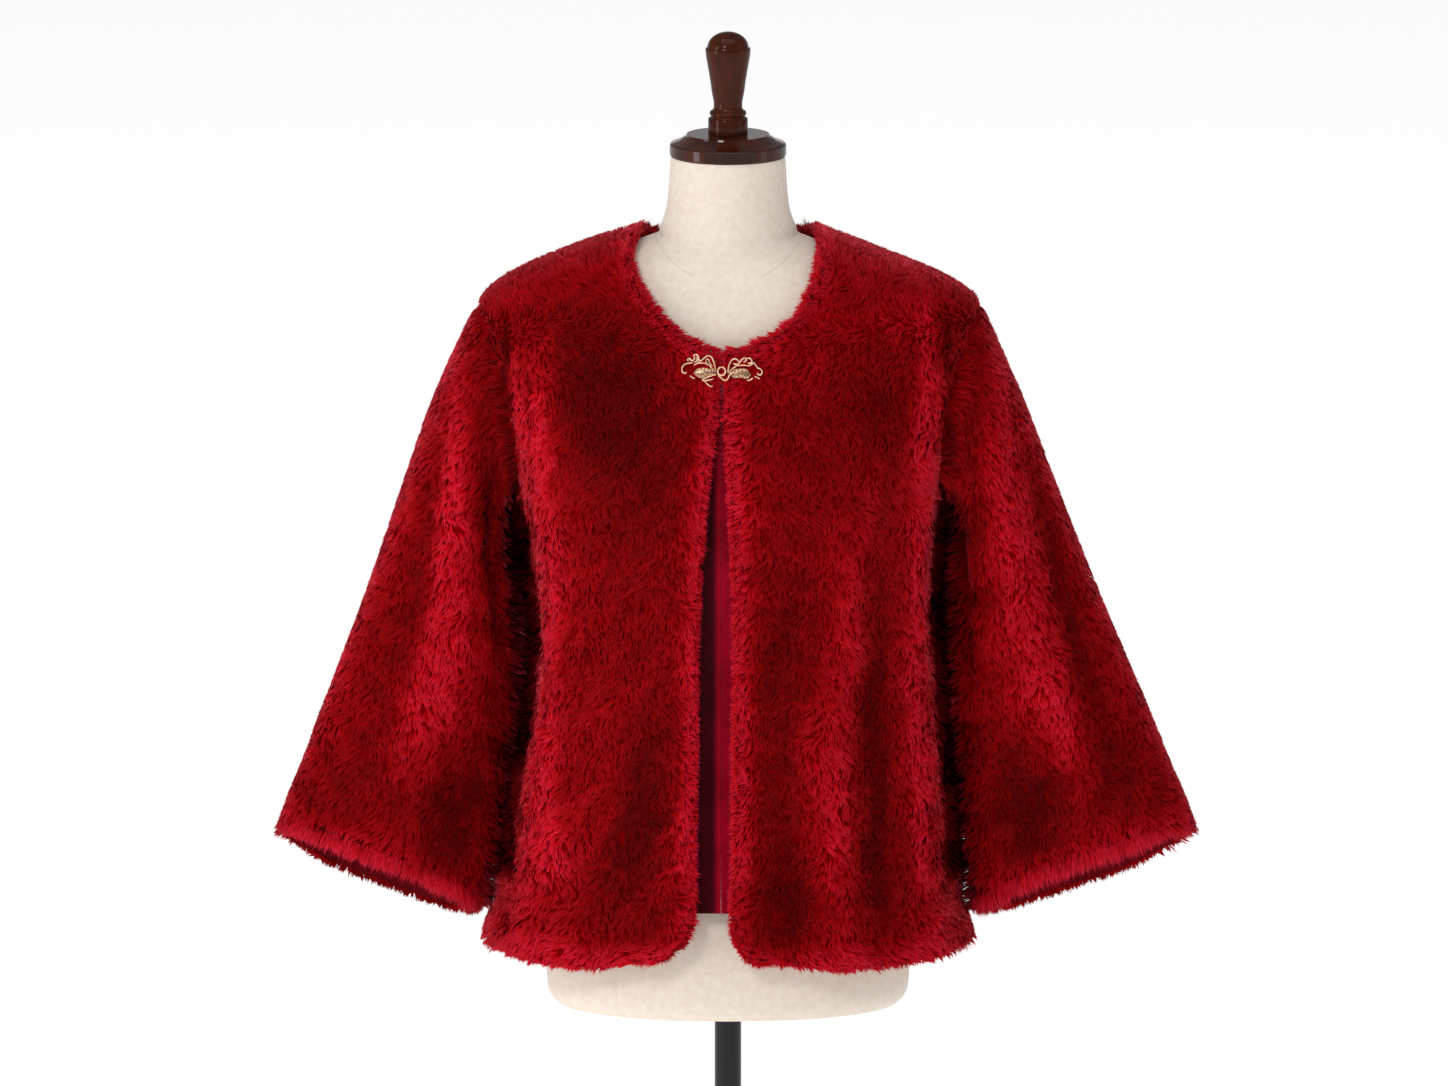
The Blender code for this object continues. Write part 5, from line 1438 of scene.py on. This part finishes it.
# Edges of the leaves: outward, then up to the upper edge and to the lower one
CLASP_LEAF_EDGES = {
    "right": (
        (5.2, -1.0, -1.2), (8.0, 0.6, -2.7), (12.0, 2.1, -3.8), (16.5, 2.7, -5.2), (20.5, 2.4, -5.2),
        (23.5, 1.0, -3.4), (25.2, -0.7, -1.0),
    ),
    "left": (
        (6.4, -1.6, -1.9), (9.0, 0.2, -3.9), (12.5, 1.5, -5.3), (17.0, 2.0, -5.0), (21.5, 1.8, -5.9),
        (24.8, 0.0, -5.4), (26.3, -2.2, -3.0),
    ),
}
RING_WIRE = ((-3.4, -3.2), (-1.0, -5.2), (1.6, -7.4), (4.0, -8.0), (6.2, -5.8), (7.2, -2.4))
MILLIMETRE = 0.001
RING_RADIUS = 3.6
CLASP_LIFT = 0.0019
LEAF_LIFT = (0.0004, 0.0010)
LEAF_DOME = 0.0014


# %% [markdown]
# The clasp lies on the jacket's curve, so its flat drawing is carried onto the smooth surface.
# %%


def on_cloth(outward, up, lift, side):
    """Points over the fur at places in millimetres measured from the clasp's ring."""
    across = CLASP_CENTRE[0] + side * np.asarray(outward) * MILLIMETRE
    height = CLASP_CENTRE[1] + np.asarray(up) * MILLIMETRE
    angle = angle_at(across, height)
    normal = surface_normal(coat_base, angle, height)
    return coat_base(angle, height) + normal * np.asarray(lift)[..., None], normal


def add_wire(mesh, path, normals, radius, sides=8):
    """Round wire along a path, thinned to a rounded point at both ends."""
    heading = unit(np.gradient(path, axis=0))
    first = unit(np.cross(heading, normals))
    second = np.cross(heading, first)
    turns = np.linspace(0.0, 2.0 * math.pi, sides, endpoint=False)
    share = np.linspace(0.0, 1.0, len(path))
    taper = np.sqrt(np.clip(np.minimum(share, 1.0 - share) * 14.0, 0.12, 1.0))
    bridge(mesh, [[p + radius * t * (a * math.cos(u) + b * math.sin(u)) for u in turns]
                  for p, a, b, t in zip(path, first, second, taper)])


def add_leaf(mesh, edge, side):
    """Thin domed plate between two curves, with a wire rim. Returns its upper points and their directions."""
    part = np.linspace(0.0, 1.0, 9)[None, :]
    outward = edge[:, :1] + 0.0 * part
    up = edge[:, 2:3] * (1.0 - part) + edge[:, 1:2] * part
    length = np.linspace(0.0, 1.0, len(edge))[:, None]
    dome = LEAF_DOME * np.sqrt(np.clip(4.0 * part * (1.0 - part) * np.sin(math.pi * length), 0.0, 1.0))
    over, normals = on_cloth(outward, up, LEAF_LIFT[1] + dome, side)
    under = on_cloth(outward, up, LEAF_LIFT[0] + dome * 0.6, side)[0]
    top, bottom = ([[mesh.verts.new(p) for p in row] for row in sheet] for sheet in (over, under))
    rows, columns = over.shape[:2]
    for sheet, turn in ((top, 1), (bottom, -1)):
        for r in range(rows - 1):
            for c in range(columns - 1):
                mesh.faces.new([sheet[r][c], sheet[r][c + 1], sheet[r + 1][c + 1], sheet[r + 1][c]][::turn])
    loop = ([(r, 0) for r in range(rows)] + [(rows - 1, c) for c in range(1, columns)]
            + [(r, columns - 1) for r in range(rows - 2, -1, -1)] + [(0, c) for c in range(columns - 2, 0, -1)])
    for (r, c), (r2, c2) in zip(loop, loop[1:] + loop[:1]):
        mesh.faces.new([top[r][c], top[r2][c2], bottom[r2][c2], bottom[r][c]])
    rim, rim_normals = (np.array([values[place] for place in loop + loop[:1]]) for values in (over, normals))
    kept = np.concatenate([[True], np.linalg.norm(np.diff(rim, axis=0), axis=1) > 0.0002])
    add_wire(mesh, rim[kept], rim_normals[kept], 0.00055)
    return over, normals


def add_net(mesh, over, normals):
    """Crossing wires on top of a leaf."""
    rows, columns = over.shape[:2]
    steps = np.linspace(0.0, 1.0, 9)
    for start in np.arange(-8, rows, 3):
        for way in (steps, 1.0 - steps):
            r, c = start + 8.0 * steps, way * (columns - 1)
            inside = (r >= 0.5) & (r <= rows - 1.5)
            if inside.sum() < 3:
                continue
            low, near = r[inside].astype(int), c[inside].astype(int)
            share = (r[inside] - low)[:, None]
            points = over[low, near] * (1.0 - share) + over[np.minimum(low + 1, rows - 1), near] * share
            add_wire(mesh, points + normals[low, near] * 0.0002, normals[low, near], 0.00032, 6)


# %% [markdown]
# Each half has a scroll of bent wires and a leaf. The ring and one bent wire join the halves.
# %%
for side_name, side in (("left", 1.0), ("right", -1.0)):
    mesh = bmesh.new()
    for radius, points in CLASP_WIRES[side_name]:
        line = smooth_line(points, 6)
        # Wires that cross lie a little over and under each other
        lift = CLASP_LIFT + 0.0004 * np.sin(line[:, 0] * 0.9 + radius * 20.0)
        add_wire(mesh, *on_cloth(line[:, 0], line[:, 1], lift, side), radius * MILLIMETRE)
    scroll = to_object("clasp_scroll_" + side_name + "_wire", mesh, gold)
    stand_for(scroll, "clasp_scroll_" + side_name)
    mesh = bmesh.new()
    add_net(mesh, *add_leaf(mesh, smooth_line(CLASP_LEAF_EDGES[side_name], 4), side))
    leaf = to_object("clasp_leaf_" + side_name + "_net", mesh, gold_net)
    stand_for(leaf, "clasp_leaf_" + side_name)
    print("clasp", side_name, "faces", len(scroll.data.polygons), len(leaf.data.polygons))

mesh = bmesh.new()
turn = np.linspace(0.0, 2.0 * math.pi, 41)
circle = np.stack([RING_RADIUS * np.sin(turn), RING_RADIUS * np.cos(turn)], axis=1)
for line, lift, radius in ((circle, CLASP_LIFT + 0.0006, 0.0009), (smooth_line(RING_WIRE, 6), CLASP_LIFT, 0.0008)):
    add_wire(mesh, *on_cloth(line[:, 0], line[:, 1], lift + 0.0 * line[:, 0], 1.0), radius)
stand_for(to_object("clasp_ring_wire", mesh, gold), "clasp_ring")

# %% Floor, backdrop and lights
# %% [markdown]
# A white paper sweep: level under the stand, then curved up far behind it, so no corner shows.
# It reaches as far in front, so that the jacket can be looked at from behind too.
# %%
SWEEP_HALF = 60.0
SWEEP_RADIUS = 3.0
SWEEP_TOP = 12.0
SWEEP_STEPS = 17

paper, tree, shader = new_material("white_paper", Roughness=0.95, IOR=1.45, Base_Color=(0.88, 0.88, 0.88, 1.0),
                                   Emission_Color=WHITE, Emission_Strength=0.61)
bend = [(SWEEP_HALF + SWEEP_RADIUS * math.sin(t), SWEEP_RADIUS * (1.0 - math.cos(t)))
        for t in np.linspace(0.0, math.pi / 2.0, SWEEP_STEPS)]
profile = [(-SWEEP_HALF, 0.0)] + bend + [(SWEEP_HALF + SWEEP_RADIUS, SWEEP_TOP)]
mesh = bmesh.new()
verts = [mesh.verts.new((-SWEEP_HALF, y, z)) for y, z in profile]
edges = [mesh.edges.new(pair) for pair in zip(verts, verts[1:])]
grown = bmesh.ops.extrude_edge_only(mesh, edges=edges)["geom"]
bmesh.ops.translate(mesh, vec=(2.0 * SWEEP_HALF, 0.0, 0.0),
                    verts=[item for item in grown if isinstance(item, bmesh.types.BMVert)])
sweep_data = bpy.data.meshes.new("paper_sweep")
mesh.to_mesh(sweep_data)
mesh.free()
sweep_data.materials.append(paper)
sweep_data.shade_smooth()
add_object("paper_sweep", sweep_data)

# %% [markdown]
# A strong soft light stands high on the left, with weaker ones at both sides and above.
# The last one lights the paper behind the stand. The pale room fills the shadows.
# %%
# Name, place, aim, width, height, power
LIGHTS = (
    ("key_above", (-1.6, -4.2, 3.6), (0.0, 0.0, 1.05), 1.2, 0.8, 55.0),
    ("side_left", (-3.0, -1.4, 1.6), (0.0, 0.0, 1.05), 0.8, 2.2, 25.0),
    ("side_right", (3.0, -0.8, 1.6), (0.0, 0.0, 1.05), 0.8, 2.2, 3.5),
    ("top_soft", (0.0, -0.6, 3.6), (0.0, 0.0, 1.3), 2.4, 1.4, 16.0),
    ("paper_light", (0.0, 3.0, 5.5), (0.0, 9.5, 2.0), 6.0, 2.0, 100.0),
)
ROOM_STRENGTH = 0.30
for name, spot, aim, width, height, power in LIGHTS:
    data = bpy.data.lights.new(name, "AREA")
    data.shape = "RECTANGLE"
    data.size, data.size_y, data.energy = width, height, power
    lamp = add_object(name, data)
    lamp.location = spot
    lamp.rotation_euler = (Vector(aim) - lamp.location).to_track_quat("-Z", "Y").to_euler()

world = bpy.data.worlds.new("studio")
world.use_nodes = True
background = world.node_tree.nodes["Background"].inputs
background["Color"].default_value = WHITE
background["Strength"].default_value = ROOM_STRENGTH
bpy.context.scene.world = world
bpy.context.scene.view_settings.view_transform = "Standard"
